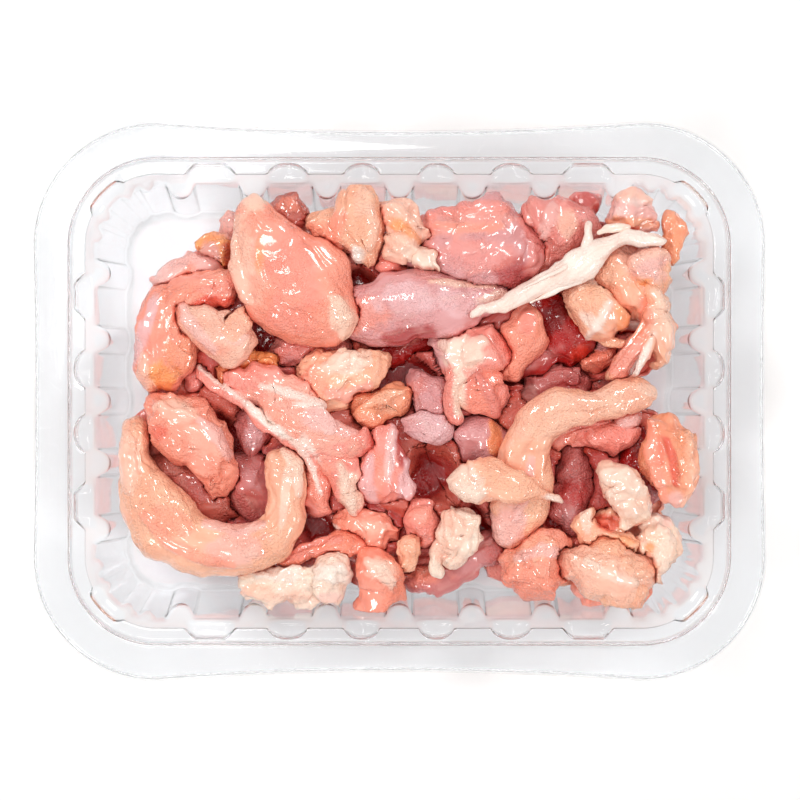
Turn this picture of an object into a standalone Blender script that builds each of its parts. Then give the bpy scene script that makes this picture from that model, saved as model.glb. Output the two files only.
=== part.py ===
"""An open, clear thermoformed tray with a heap of raw, boned chicken leg meat.

Metres, +Z up. The origin is the middle of the tray's footprint, on the surface that it stands on.
X runs along the tray's length, Y across it. The tables below are in millimetres.
"""

import bpy
import numpy as np

MM = 0.001

# The tray: every level is the same core rectangle, grown by a radius.
CORE_X = 75.8
CORE_Y = 48.5
RIM_RADIUS = 39.1
RIM_HEIGHT = 50.0
SHEET = 0.8
SKIRT_DROP = 3.8
SKIRT_FLARE = 1.0
WAIST_LONG = 2.9
WAIST_SHORT = 0.6
FLANGE_INNER = 27.0
LEDGE_OUTER = 26.3
LEDGE_INNER = 22.4
LEDGE_HEIGHT = 46.0
POCKET_REACH = 3.1
POCKET_DROP = 3.4
WALL_TOP = 19.9
WALL_TOP_HEIGHT = 40.6
RIB_REACH = 3.9
RIB_HEIGHT = 39.8
WALL_FOOT = 12.9
WALL_FOOT_HEIGHT = 6.0
FLOOR_RADIUS = 10.0
RIBS_LONG = (0.0, 23.0, 46.0, 69.0)
RIBS_SHORT = (0.0, 19.5, 40.4)
POCKETS_LONG = ((11.7, 4.9), (35.0, 5.6), (59.2, 6.4))
POCKETS_SHORT = ((10.1, 5.2), (32.9, 5.7))
CORNER_RIBS_DEG = (18.0, 70.0)
CORNER_POCKET_DEG = 44.0
RIB_HALF = 3.4
RIB_SHOULDER = 0.4
RIB_FOOT_SHARE = 0.5
POCKET_UNDERCUT = 0.5
POCKET_LIFT = 0.8
LEDGE_ROUND = 1.0
EDGE_SOFT = 2.4
CORNER_SOFT_DEG = 7.0
CORNER_RIB_SPAN = 1.5
CORNER_POCKET_SPAN = 2.2
CORNER_POCKET_SHARE = 0.6
CORNER_STEPS_DEG = (0, 13, 25, 44, 62, 77, 90)

# The meat: its clearances, and how much fuller a piece is where it lies low and runs on under others.
GAP = 0.42
WALL_GAP = 0.8
HIGH_MIDDLE = 40.0
LOW_MIDDLE = 30.0
WIDER_HIGH = 1.05
WIDER_LOW = 1.3
THICKER_LOW = 1.2
LUMP = 0.05
TIP_LEAST = 0.02

# How finely each lobe is faceted.
WIDE = 6.0
SIDES_WIDE = 8
SIDES_SLIM = 6
LEVELS_A_STATION = 1.0
FIRST_LEVEL = 0.65
LEVELS_BEYOND = 0.3
TURN_STEP = 0.01
SMOOTH_MEAT_DEG = 60
SMOOTH_TRAY_DEG = 35

# The meat that lies under the pieces: a block inside their outline, with its top just under them.
BED_X = 86.5
BED_Y = 59.3
BED_SQUARE = 9.0
BED_AROUND = 44
BED_SCALES = (0.12, 0.28, 0.44, 0.6, 0.76, 0.9, 1.0)
BED_FLOOR = 1.2
BED_FOOT_SCALE = 0.96
BED_TOP = 30.0
BED_EDGE_TOP = 23.0
BED_CLEARANCE = 0.5
BED_INSET = 3.0
BED_SAMPLES = (40, 20)

SEED_STEP = 1.7
MEAT_ROUGHNESS = 0.35
TRAY_FINISH = ((0.93, 0.93, 0.94), 0.08, 0.3)
COLOURS = {
    "salmon": (0.90, 0.42, 0.30),
    "peach": (0.93, 0.55, 0.38),
    "cream": (0.95, 0.76, 0.62),
    "mauve": (0.74, 0.40, 0.40),
    "brick": (0.62, 0.20, 0.16),
    "orange": (0.95, 0.38, 0.16),
    "deep": (0.35, 0.03, 0.03),
}

# Each piece: its colour and its lobes. A lobe is a spine of points (x, y, height of its middle,
# half width, half thickness) from tip to tip. The pieces run from the top of the heap down.
HEAP = {
    "fillet_large": (
        "salmon",
        [
            [(-45.5, 64, 41, 4, 3), (-43, 55, 40, 8, 6), (-38.5, 45, 39, 13.5, 7.5),
             (-32, 36, 38.5, 16.5, 8), (-25, 27, 38, 13, 7.5), (-18, 16.5, 36.5, 7, 6)],
        ],
    ),
    "tendon_band": (
        "cream",
        [
            [(84, 51.5, 38.5, 2.2, 2), (76, 51.5, 41, 2.6, 2.4), (68, 50, 43, 3.2, 2.8),
             (61.5, 46.5, 43.5, 4.6, 3), (56, 42, 43, 5, 3), (51, 38.8, 42.5, 4.2, 2.8),
             (45, 36, 42, 2.8, 2.2), (38, 32.5, 41.8, 2.3, 1.9), (31, 29.3, 42.2, 1.5, 1.5),
             (21, 26.5, 42.2, 1.1, 1.2)],
            [(59.6, 57, 41.5, 1.5, 1.6), (59.4, 51, 43.5, 1.6, 1.6), (59, 47, 43.5, 2, 1.8)],
        ],
    ),
    "strip_crossing": (
        "peach",
        [
            [(16, -25, 40, 4, 3.5), (22, -25.5, 41.5, 6.6, 4), (30, -24.5, 43.5, 5.6, 3),
             (38, -26.8, 44, 4, 2.4), (45, -29.8, 42.5, 2, 1.8), (51, -31.2, 39.5, 1.2, 1.3)],
        ],
    ),
    "strip_s": (
        "peach",
        [
            [(81, 2.5, 36.5, 3.4, 3), (72, 0.5, 38.5, 5.3, 4.8), (62, -1.2, 40, 5.7, 5.4),
             (52, -3.5, 40.5, 6.3, 5.6), (43, -8, 40, 7, 5.6), (39, -16, 38.5, 7.4, 5.6),
             (39.3, -24, 36.5, 7.9, 5), (37.5, -32, 35.5, 7.9, 5), (34, -39.5, 34.5, 6.2, 4.6),
             (30.5, -46, 33, 2.2, 3)],
        ],
    ),
    "fillet_hooked": (
        "peach",
        [
            [(-84, -4.5, 32, 3.4, 5), (-84, -15, 34, 4.4, 7), (-82, -27, 36, 6.5, 8),
             (-76, -37, 37, 9.6, 8), (-66, -43.5, 37.5, 9.2, 7.5), (-55, -46.8, 37.5, 7.6, 7),
             (-44.5, -45.5, 38, 6.8, 7), (-37.5, -39, 38.5, 6, 6.5), (-35.2, -30, 39, 5.2, 6),
             (-34.8, -21, 38.5, 5.4, 5.5), (-33.5, -14.5, 37, 3.6, 4)],
        ],
    ),
    "piece_right_tendon": (
        "salmon",
        [
            [(77, 48, 34.5, 5, 4), (78, 44.5, 36.5, 7, 4.5), (80, 39, 37, 5, 4.5),
             (82.5, 34, 36, 2.4, 3.5)],
            [(76, 37.5, 38, 3, 3.5), (80.5, 30, 38.5, 5.4, 5.5), (83, 22, 37.5, 4.4, 5.5),
             (82.5, 14, 36, 2.5, 4), (81, 9, 34.5, 1.3, 2)],
            [(80, 25.5, 38, 3, 4), (75.5, 19, 38.5, 4.5, 5), (71.3, 12, 37.8, 4.4, 5),
             (68.3, 5.8, 36, 2.5, 3.5)],
            [(79, 20.5, 42.2, 1.3, 1.5), (76.5, 13, 42.8, 1.6, 1.6), (72.2, 3.8, 42.2, 1.2, 1.4)],
        ],
    ),
    "fat_blob_right": (
        "cream",
        [
            [(61.5, -26, 38.5, 3, 3), (68, -26.8, 40, 5.8, 5), (72.5, -32, 40, 5.2, 4.5),
             (75.5, -39.5, 38.5, 2.4, 2.6)],
        ],
    ),
    "piece_folded_right": (
        "brick",
        [
            [(83, -4, 35.5, 5, 4), (84, -11, 37, 7.6, 5.5), (85.8, -19, 37.5, 8.8, 6),
             (87.3, -27, 37.8, 7, 5.5), (87.6, -33.8, 37.5, 3.2, 3)],
        ],
    ),
    "lump_left": (
        "orange",
        [
            [(-79, -1.5, 35, 3.5, 4), (-72, -6, 36.5, 8.3, 6.5), (-63, -12, 37, 9.6, 7),
             (-56.8, -20, 35, 6.4, 6), (-54.5, -29, 31, 3.4, 5)],
        ],
    ),
    "lobe_pale": (
        "peach",
        [
            [(-68.5, 28, 36.5, 2.6, 3), (-61, 23, 38.5, 6.3, 5), (-53, 19.5, 39, 8.2, 5.5),
             (-46.5, 23, 38.5, 5, 4.5)],
        ],
    ),
    "bulge_right": (
        "salmon",
        [
            [(59.5, 41, 33, 4, 4), (61.3, 34, 36.5, 9, 7), (62.7, 27, 37, 7.4, 7),
             (65.3, 20, 35, 3, 4)],
            [(52.8, 31, 33, 1, 1.2), (58, 24, 34.5, 1.3, 1.3), (65.5, 19.3, 36.5, 1.4, 1.2),
             (74.5, 17, 36, 0.9, 1)],
        ],
    ),
    "muscle_lens": (
        "mauve",
        [
            [(-16.5, 21, 33, 4.5, 4), (-7, 27, 36, 9.3, 5.5), (4, 31, 37, 10, 6),
             (14, 31.2, 37, 8.8, 5.5), (25, 31.8, 36.5, 5, 4.5), (36.5, 34, 34.5, 1.6, 2.5)],
        ],
    ),
    "piece_peaked": (
        "peach",
        [
            [(-11, 68, 44, 2, 2), (-12, 62, 41.5, 5.3, 4), (-12.4, 55, 39, 7.4, 5),
             (-12.6, 49, 38.5, 5, 4), (-13.3, 44, 36.5, 1.6, 2.4)],
            [(-29, 53.8, 33, 2, 3), (-23.5, 55.5, 35.5, 4.6, 4.5), (-18.2, 52, 35, 4.6, 4.5),
             (-15.5, 46, 32, 2.4, 3)],
        ],
    ),
    "curl_fatty": (
        "peach",
        [
            [(-8.5, 59.5, 37, 3, 3), (-3, 58.6, 38.5, 4.4, 4), (2.5, 55, 38, 4.6, 4),
             (6.5, 50.5, 37, 3, 3)],
            [(-4.5, 52, 38, 3.4, 3.4), (1, 48.8, 39.5, 4.4, 4), (6.5, 45.3, 40, 3, 3)],
            [(7, 48.8, 40, 2.4, 2.6), (9, 43.3, 41.5, 3.6, 3), (11.5, 38.2, 41.5, 2, 2.2)],
        ],
    ),
    "slab_dark": (
        "mauve",
        [
            [(4, 56, 33.5, 3.6, 3.5), (13, 50.5, 35, 9.8, 5.5), (24, 49, 35.5, 11.6, 6),
             (34, 49.2, 35, 11.8, 6), (42.5, 52, 33, 7, 5)],
        ],
    ),
    "slab_glossy": (
        "mauve",
        [
            [(53, 65, 35.5, 4.5, 3.5), (50.5, 57, 36, 7.6, 5), (47, 49, 35, 6.4, 5),
             (43.3, 40.3, 32, 2.6, 3)],
            [(53, 62.6, 33, 2.6, 3), (59.5, 62.8, 33.5, 3, 3.4), (65.2, 62, 33, 1.8, 2.4)],
        ],
    ),
    "lump_round_pale": (
        "cream",
        [
            [(66.6, 61.5, 36, 3, 3), (73.5, 61.8, 38.5, 5.6, 4.5), (82, 59.3, 37, 3.3, 3.2)],
            [(65.2, 59.5, 33.5, 1.8, 2.4), (69, 56.4, 34.5, 2.8, 3), (75.5, 55, 35, 2.2, 3),
             (82, 56.3, 34, 2.6, 3)],
        ],
    ),
    "fat_mass_low": (
        "cream",
        [
            [(19.6, -33.4, 36.5, 3.6, 3.4), (18.3, -39, 38.5, 4.4, 4), (18.3, -46, 37.5, 5.3, 4.5),
             (16, -52.8, 35.5, 2.2, 2.6)],
            [(16.5, -43.5, 37.5, 2.2, 2.4), (12, -47, 36.5, 2.1, 2.2), (12, -51, 36, 1.9, 2),
             (13.2, -54.6, 34.5, 1.2, 1.5)],
        ],
    ),
    "piece_web": (
        "salmon",
        [
            [(-56.5, 8.5, 34.5, 2.2, 2.5), (-46.5, 5.3, 37, 4.3, 4), (-38.5, 0.5, 38, 7.6, 4.5),
             (-30, -6.5, 39, 7.6, 4.5), (-22, -11.3, 39.3, 6.3, 4), (-13.5, -13.2, 38.3, 3.8, 3.2),
             (-7.8, -13, 37, 2.3, 2.4)],
            [(-22.5, -13, 38, 4, 3.4), (-17.5, -21, 38.5, 5.4, 3.8), (-15.3, -29, 38, 3.6, 3.2),
             (-13.6, -36.5, 36.5, 1.5, 1.8)],
            [(-27, -11, 37.5, 4, 4), (-26, -22, 36, 4.6, 4), (-25, -30, 35, 5, 4),
             (-21.5, -36, 33, 2.6, 3)],
            [(-63.5, 11.3, 33, 0.9, 1), (-59, 6, 35, 1.2, 1.2), (-50.5, 1.2, 38.5, 1.4, 1.3),
             (-41.6, -7.4, 41, 1.8, 1.6),
             (-31, -11.5, 41, 1.6, 1.6)],
        ],
    ),
    "piece_translucent": (
        "salmon",
        [
            [(6.5, 17, 32.5, 4, 4), (13, 15.8, 35.5, 7.2, 5), (20.5, 15.5, 36.5, 7.6, 5.5),
             (27, 18, 36, 5.8, 5), (32.5, 23, 34, 2.6, 3)],
            [(18, 14.5, 39.5, 4.6, 2.8), (18.7, 7.5, 38.8, 3, 3), (18.6, 0, 37.5, 1.9, 2.4),
             (19.6, -7.8, 35.5, 2, 2.2)],
            [(23.5, 13, 35, 4, 4.5), (26.2, 3.5, 35.5, 6.2, 5.5), (28, -5.8, 33.5, 4.6, 4.5)],
        ],
    ),
    "oval_mauve": (
        "mauve",
        [
            [(1.3, -7.3, 36, 2.6, 3), (6, -8.6, 37, 4.8, 4), (11, -10.6, 36.5, 4.8, 4),
             (15.3, -12.5, 34.5, 2.6, 3)],
        ],
    ),
    "piece_winged": (
        "salmon",
        [
            [(-1, -6, 36, 1.8, 2.5), (-3.4, -13, 36.5, 3.6, 4), (-4, -21, 35.8, 6.3, 4.5),
             (-3.4, -28, 35, 7.7, 5), (-3.2, -33.4, 33, 4.4, 4)],
        ],
    ),
    "lump_ochre": (
        "orange",
        [
            [(-12.6, -6.5, 32, 3.4, 4), (-7, -2.6, 34.5, 5.3, 5), (-1, 0.2, 34.5, 4.4, 4.5),
             (4.6, 0.6, 33, 2.1, 3)],
        ],
    ),
    "lump_fat_centre": (
        "orange",
        [
            [(-33, 8.3, 31.5, 2.8, 4), (-25, 6.6, 34.5, 5.6, 5), (-17, 6.3, 36, 6.6, 5.5),
             (-10.5, 9.8, 35.5, 5, 5), (-6.8, 16.5, 34, 2.4, 3)],
        ],
    ),
    "strip_arched": (
        "orange",
        [
            [(-50, 36, 35, 4.8, 4), (-58, 35.4, 35.5, 5.4, 4.5), (-65.5, 32.4, 35, 6.2, 5),
             (-71, 26.4, 34.5, 7.2, 5.5), (-73.3, 18.5, 34, 8.2, 6), (-75, 10, 33.5, 6.8, 5.5),
             (-76.3, 2.6, 32, 3.3, 4)],
        ],
    ),
    "fat_lumps": (
        "cream",
        [
            [(-49.5, -56.7, 31.5, 2.8, 3), (-41.5, -56.3, 33.5, 4.8, 4), (-33, -57.4, 35, 5, 4),
             (-25, -58, 36, 3.6, 3.6)],
            [(-30.5, -56.3, 35, 4.4, 4), (-22, -56.7, 37.5, 7.7, 5), (-13.6, -57.5, 35.5, 4.8, 4)],
            [(-34.5, -61, 33, 2.2, 2.6), (-27, -63, 33.5, 2.8, 2.8), (-19.5, -64, 33, 2, 2.2)],
        ],
    ),
    "piece_fibrous": (
        "orange",
        [
            [(-12.5, -47, 35, 2.4, 3), (-6.7, -53, 36, 5, 4.4), (-5.6, -60, 35, 5.3, 4.4),
             (-10.5, -65.2, 34, 3.2, 3), (-15, -66.8, 33, 1.8, 2)],
            [(-41, -50.8, 32, 1.4, 2), (-34, -49.5, 33.5, 3, 3.4), (-26.5, -46.6, 34.5, 2.9, 3.4),
             (-18.5, -45.6, 35, 2.5, 3), (-11, -47.3, 34.5, 2, 2.4)],
        ],
    ),
    "nugget_low": (
        "peach",
        [
            [(2.4, -43.4, 36, 2.1, 2.6), (1.7, -48.6, 37, 3.3, 3.4), (1.6, -54.4, 35, 1.5, 2)],
        ],
    ),
    "lump_smooth": (
        "salmon",
        [
            [(0.6, -39.6, 33, 3.8, 4), (7, -38.4, 35, 6.6, 5.5), (13.5, -37.8, 34.5, 5.4, 5)],
        ],
    ),
    "lump_crumbly": (
        "peach",
        [
            [(-20, -37.5, 31, 2.6, 3), (-13, -39.2, 32.8, 5.2, 4.5), (-7, -41.2, 32.5, 5.6, 4.5),
             (-0.6, -42.6, 30.5, 3, 3.4)],
        ],
    ),
    "lump_bottom_pale": (
        "peach",
        [
            [(56, -48, 34, 3.8, 3.6), (64, -53.3, 37, 8.4, 5.5), (71.5, -56.3, 36.5, 7, 5),
             (79, -56, 34, 3.4, 3.4)],
        ],
    ),
    "lump_bottom": (
        "salmon",
        [
            [(31, -56, 31.5, 3.8, 4), (39.5, -53.3, 34.5, 7.6, 6), (47, -51.6, 36, 9, 6.5),
             (55.5, -53.5, 34, 6.6, 5)],
        ],
    ),
    "folds_orange": (
        "orange",
        [
            [(60, -34.6, 35.5, 2, 2.4), (58.8, -39, 35.5, 2.4, 3), (62.5, -43, 35.5, 3, 3.4),
             (69.5, -44.2, 36, 3.2, 3.6), (76.6, -43, 35, 2.6, 3)],
            [(61.8, -36, 31.5, 2.4, 3), (66, -38.8, 33, 3.2, 3.6), (71.5, -40.3, 34.5, 2.6, 3)],
        ],
    ),
    "skin_right": (
        "cream",
        [
            [(83, -35.5, 32.5, 3.8, 3.4), (82, -42.5, 34, 4.7, 4), (80, -49.5, 33.5, 5, 4),
             (77.8, -58, 30.5, 3.2, 3.4)],
        ],
    ),
    "oval_grey_mauve": (
        "mauve",
        [
            [(25.8, -5, 30.5, 4, 4), (25.3, -12, 32.5, 6.2, 5.5), (24.8, -20.5, 30.5, 4.8, 4.5)],
        ],
    ),
    "piece_grey_pink": (
        "mauve",
        [
            [(1, 4.8, 31, 2.2, 3), (6, 3.4, 33, 4.2, 4.4), (12, 0.4, 33, 5.2, 4.8),
             (18.5, -3.4, 31, 4.2, 4)],
        ],
    ),
    "lump_glossy": (
        "salmon",
        [
            [(41.5, 28.5, 34.5, 2.6, 3), (38.6, 20, 34.5, 4.4, 4.6), (35, 15, 33.5, 3.9, 4.2),
             (29.5, 9.8, 32, 2, 2.6)],
        ],
    ),
    "lump_under_s": (
        "salmon",
        [
            [(46, -15.8, 30.5, 2.4, 3), (53, -12.6, 32.5, 4, 4.2), (60, -10.5, 32, 3.4, 3.8),
             (67, -10.5, 32, 3, 3.6)],
            [(65, -6.4, 31.5, 4.2, 4), (66.8, -13, 32.8, 6, 4.8), (68, -20.5, 31.5, 4.2, 4)],
            [(66.5, -7.5, 33.5, 2, 2.4), (73, -6.4, 35, 2.6, 2.8), (77.4, -5.4, 34.5, 1.6, 2)],
        ],
    ),
    "strip_back_left": (
        "peach",
        [
            [(-58, 44, 31, 4, 3.6), (-66, 41, 31.8, 4.8, 4), (-73, 36, 31.5, 4.6, 4.2),
             (-76.6, 29.5, 30, 3, 3.4)],
        ],
    ),
    "piece_back_left": (
        "orange",
        [
            [(-62.6, 45.5, 31.5, 3.6, 3.6), (-57.5, 48, 33, 5, 4.4), (-50, 47.5, 31.5, 4.6, 4)],
            [(-57, 53.4, 31.5, 2.8, 2.6), (-53, 56.2, 33, 3.6, 3), (-49, 59, 32, 2.6, 2.4)],
        ],
    ),
    "piece_brown_back": (
        "brick",
        [
            [(-40.5, 61.2, 33, 2, 2.6), (-34, 60.3, 34.3, 4.4, 4), (-27, 57.5, 32.5, 3.4, 3.6)],
        ],
    ),
    "nugget_orange": (
        "orange",
        [
            [(-59, 11, 31, 2.4, 3), (-51, 9.6, 32.5, 4, 4), (-45, 12.2, 32.5, 3.8, 4),
             (-43.3, 17.5, 31, 2.2, 3)],
        ],
    ),
    "oval_small_left": (
        "mauve",
        [
            [(-70, 7, 30, 2, 2.2), (-65.4, 7.4, 31.2, 2.8, 3), (-60.5, 7.6, 30.5, 2, 2.4)],
        ],
    ),
    "lump_small_top": (
        "peach",
        [
            [(-8, 43.4, 33, 2.2, 2.5), (-3, 43.9, 34, 2.7, 3.4), (2.5, 43.2, 33, 1.9, 2.5)],
        ],
    ),
    "tail_speckled": (
        "mauve",
        [
            [(-43, 14.4, 28.5, 3.6, 3.6), (-34, 14.8, 30, 4.6, 4.2), (-25, 15.8, 30, 4.4, 4),
             (-15, 19, 29, 3.6, 3.6)],
        ],
    ),
    "oval_left": (
        "mauve",
        [
            [(-46.5, -14.5, 27.5, 3.6, 3.6), (-45.6, -25, 28.5, 5.2, 4.6), (-44.8, -36, 27, 3.6, 3.6)],
            [(-47.4, 0.5, 29.5, 2.4, 2.6), (-45.8, -8, 31.3, 3.5, 3.2), (-45.2, -16.5, 30.5, 2.6, 2.6)],
        ],
    ),
    "muscle_dark": (
        "deep",
        [
            [(45, 34, 26, 3, 3.4), (50, 26, 28, 6, 4.6), (54, 19, 28, 6, 4.6),
             (58.5, 12.6, 26, 2.8, 3.4)],
            [(33.5, 8, 27, 1.5, 2), (40, 11, 28, 2.2, 2.4), (46, 14.5, 28.8, 2.6, 2.6),
             (52, 18.5, 28.5, 2, 2.2)],
        ],
    ),
    "piece_under_right": (
        "brick",
        [
            [(60, 18.5, 28.5, 3.6, 3.2), (63, 14.5, 29.6, 4.4, 3.8), (65.5, 8.5, 28, 2.6, 3)],
        ],
    ),
    "oval_dark_right": (
        "mauve",
        [
            [(48.4, -22, 26.5, 4, 3.6), (55.5, -21.6, 28, 5.4, 4.4), (63, -20.5, 27, 3.6, 3.6)],
            [(53, -23, 27, 3.6, 3.4), (54.5, -32, 29, 4.4, 4), (56.2, -41, 29, 2.8, 3)],
        ],
    ),
    "lump_dark_right": (
        "brick",
        [
            [(75, -9, 28, 2.4, 3), (76, -18, 29, 3.4, 3.6), (79.6, -26, 30, 3, 3.4),
             (79.4, -33.5, 29, 2, 2.6)],
        ],
    ),
    "strip_mauve_low": (
        "mauve",
        [
            [(0.4, -57, 27.5, 1.8, 2.4), (8, -57, 29, 2.9, 3), (16, -55.3, 29.5, 3.2, 3.2),
             (23.5, -51, 29.8, 3.9, 3.4), (30.5, -46.6, 29, 3.8, 3.2), (37, -43.4, 27.5, 2, 2.4)],
        ],
    ),
    "lump_orange_low": (
        "orange",
        [
            [(53.5, -58.5, 28, 2.6, 3), (63.5, -60.6, 29.2, 3.6, 3.4), (73, -60, 28.8, 3, 3),
             (80.5, -56, 27.5, 1.8, 2.2)],
        ],
    ),
    "piece_low_back": (
        "salmon",
        [
            [(62, 53, 29.5, 2.6, 3), (68.5, 53, 30.5, 3, 3.2), (76, 53.5, 30, 2.2, 2.6)],
        ],
    ),
    "sliver_right": (
        "orange",
        [
            [(84.2, 60, 33, 1.4, 1.8), (86.2, 54, 34, 2.5, 2.4), (84.6, 45, 33.5, 1.2, 1.6)],
        ],
    ),
    "piece_in_hook": (
        "mauve",
        [
            [(-77.5, -17, 26.5, 3.6, 3.6), (-70, -24, 28, 5, 4.4), (-60, -30.5, 28, 5.2, 4.6),
             (-49.5, -35, 26.5, 3.6, 3.6)],
        ],
    ),
    "piece_low_right": (
        "brick",
        [
            [(38.5, -0.5, 26, 3, 3), (46, 4, 27.4, 4.4, 3.8), (54.5, 6, 27.4, 4.4, 3.8),
             (61, 5.5, 26, 2.6, 3)],
        ],
    ),
    "piece_low_edge": (
        "orange",
        [
            [(72, 38, 27, 2.6, 3), (72.4, 30, 28.4, 4.4, 4), (70.6, 21.5, 27.4, 3, 3.4)],
        ],
    ),
    "lump_brown_centre": (
        "brick",
        [
            [(-7.5, 11, 26.5, 2.2, 2.6), (-3, 15.3, 28, 2.9, 3), (5, 20.6, 28, 3, 3),
             (10, 23.4, 27, 2, 2.4)],
        ],
    ),
}


def smooth_step(value):
    """0 below 0, 1 above 1, and an even S between."""
    value = np.clip(value, 0.0, 1.0)
    return value * value * (3.0 - 2.0 * value)


def flat_bump(place, middle, half):
    """1 within half of the middle, falling to 0 over the soft edge."""
    return smooth_step((half - np.abs(place - middle)) / EDGE_SOFT + 0.5)


def feature_places(ribs, pockets):
    """Two places on each rib and two in each pocket, along one whole side."""
    features = [(middle, RIB_HALF) for middle in ribs] + list(pockets)
    ends = [(middle - half + EDGE_SOFT / 2, middle + half - EDGE_SOFT / 2) for middle, half in features]
    places = np.array(ends).ravel()
    return np.unique(np.round(np.concatenate([-places, places]), 2))


def tray_path():
    """The core rectangle's points, their outward normals, and the place of each along its side."""
    long_side = feature_places(RIBS_LONG, POCKETS_LONG)
    short_side = feature_places(RIBS_SHORT, POCKETS_SHORT)
    corner = np.radians(CORNER_STEPS_DEG)
    rows = []
    for turn, (length, along) in enumerate(((CORE_X, long_side), (CORE_Y, short_side)) * 2):
        half_depth = CORE_Y if turn % 2 == 0 else CORE_X
        heading = np.radians(90 * turn)
        for place in along:
            rows.append((place, -half_depth, -np.pi / 2, place, turn % 2, heading))
        for angle in corner if turn % 2 == 0 else corner[-1] - corner[::-1]:
            rows.append((length, -half_depth, angle - np.pi / 2, np.nan, 2, heading))
    rows = np.array(rows)
    x = rows[:, 0] * np.cos(rows[:, 5]) - rows[:, 1] * np.sin(rows[:, 5])
    y = rows[:, 0] * np.sin(rows[:, 5]) + rows[:, 1] * np.cos(rows[:, 5])
    facing = rows[:, 2] + rows[:, 5]
    base = np.stack([x, y], axis=1)
    normal = np.stack([np.cos(facing), np.sin(facing)], axis=1)
    return base, normal, rows[:, 3], rows[:, 4]


def tray_features(normal, along, side):
    """How far each place round the tray is a rib and a pocket, from 0 to 1, and its waist in mm."""
    place = np.abs(np.nan_to_num(along, nan=1000.0))
    rib = np.zeros(len(place))
    pocket = np.zeros(len(place))
    for kind, ribs, pockets in ((0, RIBS_LONG, POCKETS_LONG), (1, RIBS_SHORT, POCKETS_SHORT)):
        here = side == kind
        for middle in ribs:
            rib += here * flat_bump(place, middle, RIB_HALF)
        for middle, half in pockets:
            pocket += here * flat_bump(place, middle, half)
    corner_angle = np.degrees(np.arctan2(np.abs(normal[:, 1]), np.abs(normal[:, 0])))
    for middle in CORNER_RIBS_DEG:
        away = np.abs(corner_angle - middle) / CORNER_SOFT_DEG
        rib += (side == 2) * smooth_step(CORNER_RIB_SPAN - away)
    away = np.abs(corner_angle - CORNER_POCKET_DEG) / CORNER_SOFT_DEG
    pocket += (side == 2) * CORNER_POCKET_SHARE * smooth_step(CORNER_POCKET_SPAN - away)
    waist = np.where(side == 0, WAIST_LONG * (1 - (place / CORE_X) ** 2), 0.0)
    waist = np.where(side == 1, WAIST_SHORT * (1 - (place / CORE_Y) ** 2), waist)
    return np.clip(rib, 0, 1), np.clip(pocket, 0, 1), waist


def tray_profile(rib, pocket, waist):
    """The tray's upper face as (radius, height) for each level, from the skirt's foot to the floor."""
    one = np.ones(len(rib))
    ledge = LEDGE_INNER + POCKET_REACH * pocket
    levels = [
        (RIM_RADIUS - waist, (RIM_HEIGHT - SKIRT_DROP) * one),
        (RIM_RADIUS - SKIRT_FLARE - waist, RIM_HEIGHT * one),
        (FLANGE_INNER * one, RIM_HEIGHT * one),
        (LEDGE_OUTER * one, LEDGE_HEIGHT * one),
        (ledge, LEDGE_HEIGHT * one),
        (ledge - POCKET_UNDERCUT, LEDGE_HEIGHT - LEDGE_ROUND - POCKET_DROP * pocket),
        (WALL_TOP * one, WALL_TOP_HEIGHT + POCKET_LIFT * pocket),
        (WALL_TOP - RIB_SHOULDER - RIB_REACH * rib, RIB_HEIGHT * one),
        (WALL_FOOT - RIB_FOOT_SHARE * RIB_REACH * rib, WALL_FOOT_HEIGHT * one),
        (FLOOR_RADIUS * one, SHEET * one),
    ]
    return np.array([r for r, _ in levels]), np.array([z for _, z in levels])


def offset_profile(radius, height, amount):
    """The profile moved to its hidden side by the amount, with the corners mitred."""
    run = np.concatenate([np.diff(radius, axis=0), -np.ones((1, radius.shape[1]))])
    rise = np.concatenate([np.diff(height, axis=0), np.zeros((1, radius.shape[1]))])
    length = np.hypot(run, rise)
    normal = np.stack([-rise / length, run / length])
    before = np.concatenate([normal[:, :1], normal[:, :-1]], axis=1)
    mitre = (normal + before) / (1.0 + (normal * before).sum(axis=0))
    return radius + amount * mitre[0], height + amount * mitre[1]


def ring_points(base, normal, radius, height):
    """One loop of points for each level of a profile."""
    plan = base[None] + normal[None] * radius[..., None]
    return np.concatenate([plan, height[..., None]], axis=2)


def band_faces(rings, around, first=0):
    """The quads between neighbouring rings that turn anticlockwise seen from above and go down."""
    k = np.arange(rings - 1)[:, None] * around + first
    i = np.arange(around)[None]
    j = (i + 1) % around
    quads = np.stack([k + i, k + around + i, k + around + j, k + j], axis=-1)
    return quads.reshape(-1, 4).tolist()


def closed_rings(rings):
    """A closed mesh from loops of points, with a fan at each end towards that loop's middle."""
    levels, around = rings.shape[:2]
    points = np.concatenate([rings.reshape(-1, 3), rings[:1].mean(axis=1), rings[-1:].mean(axis=1)])
    faces = band_faces(levels, around)
    start, end, last = levels * around, levels * around + 1, (levels - 1) * around
    for i in range(around):
        j = (i + 1) % around
        faces.append([start, i, j])
        faces.append([end, last + j, last + i])
    return points, faces


def split_shorter(points, faces):
    """The quads cut along their shorter diagonal, so that mirrored features get mirrored facets."""
    split = [face for face in faces if len(face) == 3]
    for a, b, c, d in (face for face in faces if len(face) == 4):
        first = np.linalg.norm(points[a] - points[c])
        second = np.linalg.norm(points[b] - points[d])
        if first <= second:
            split += [[a, b, c], [a, c, d]]
        else:
            split += [[a, b, d], [b, c, d]]
    return split


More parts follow.
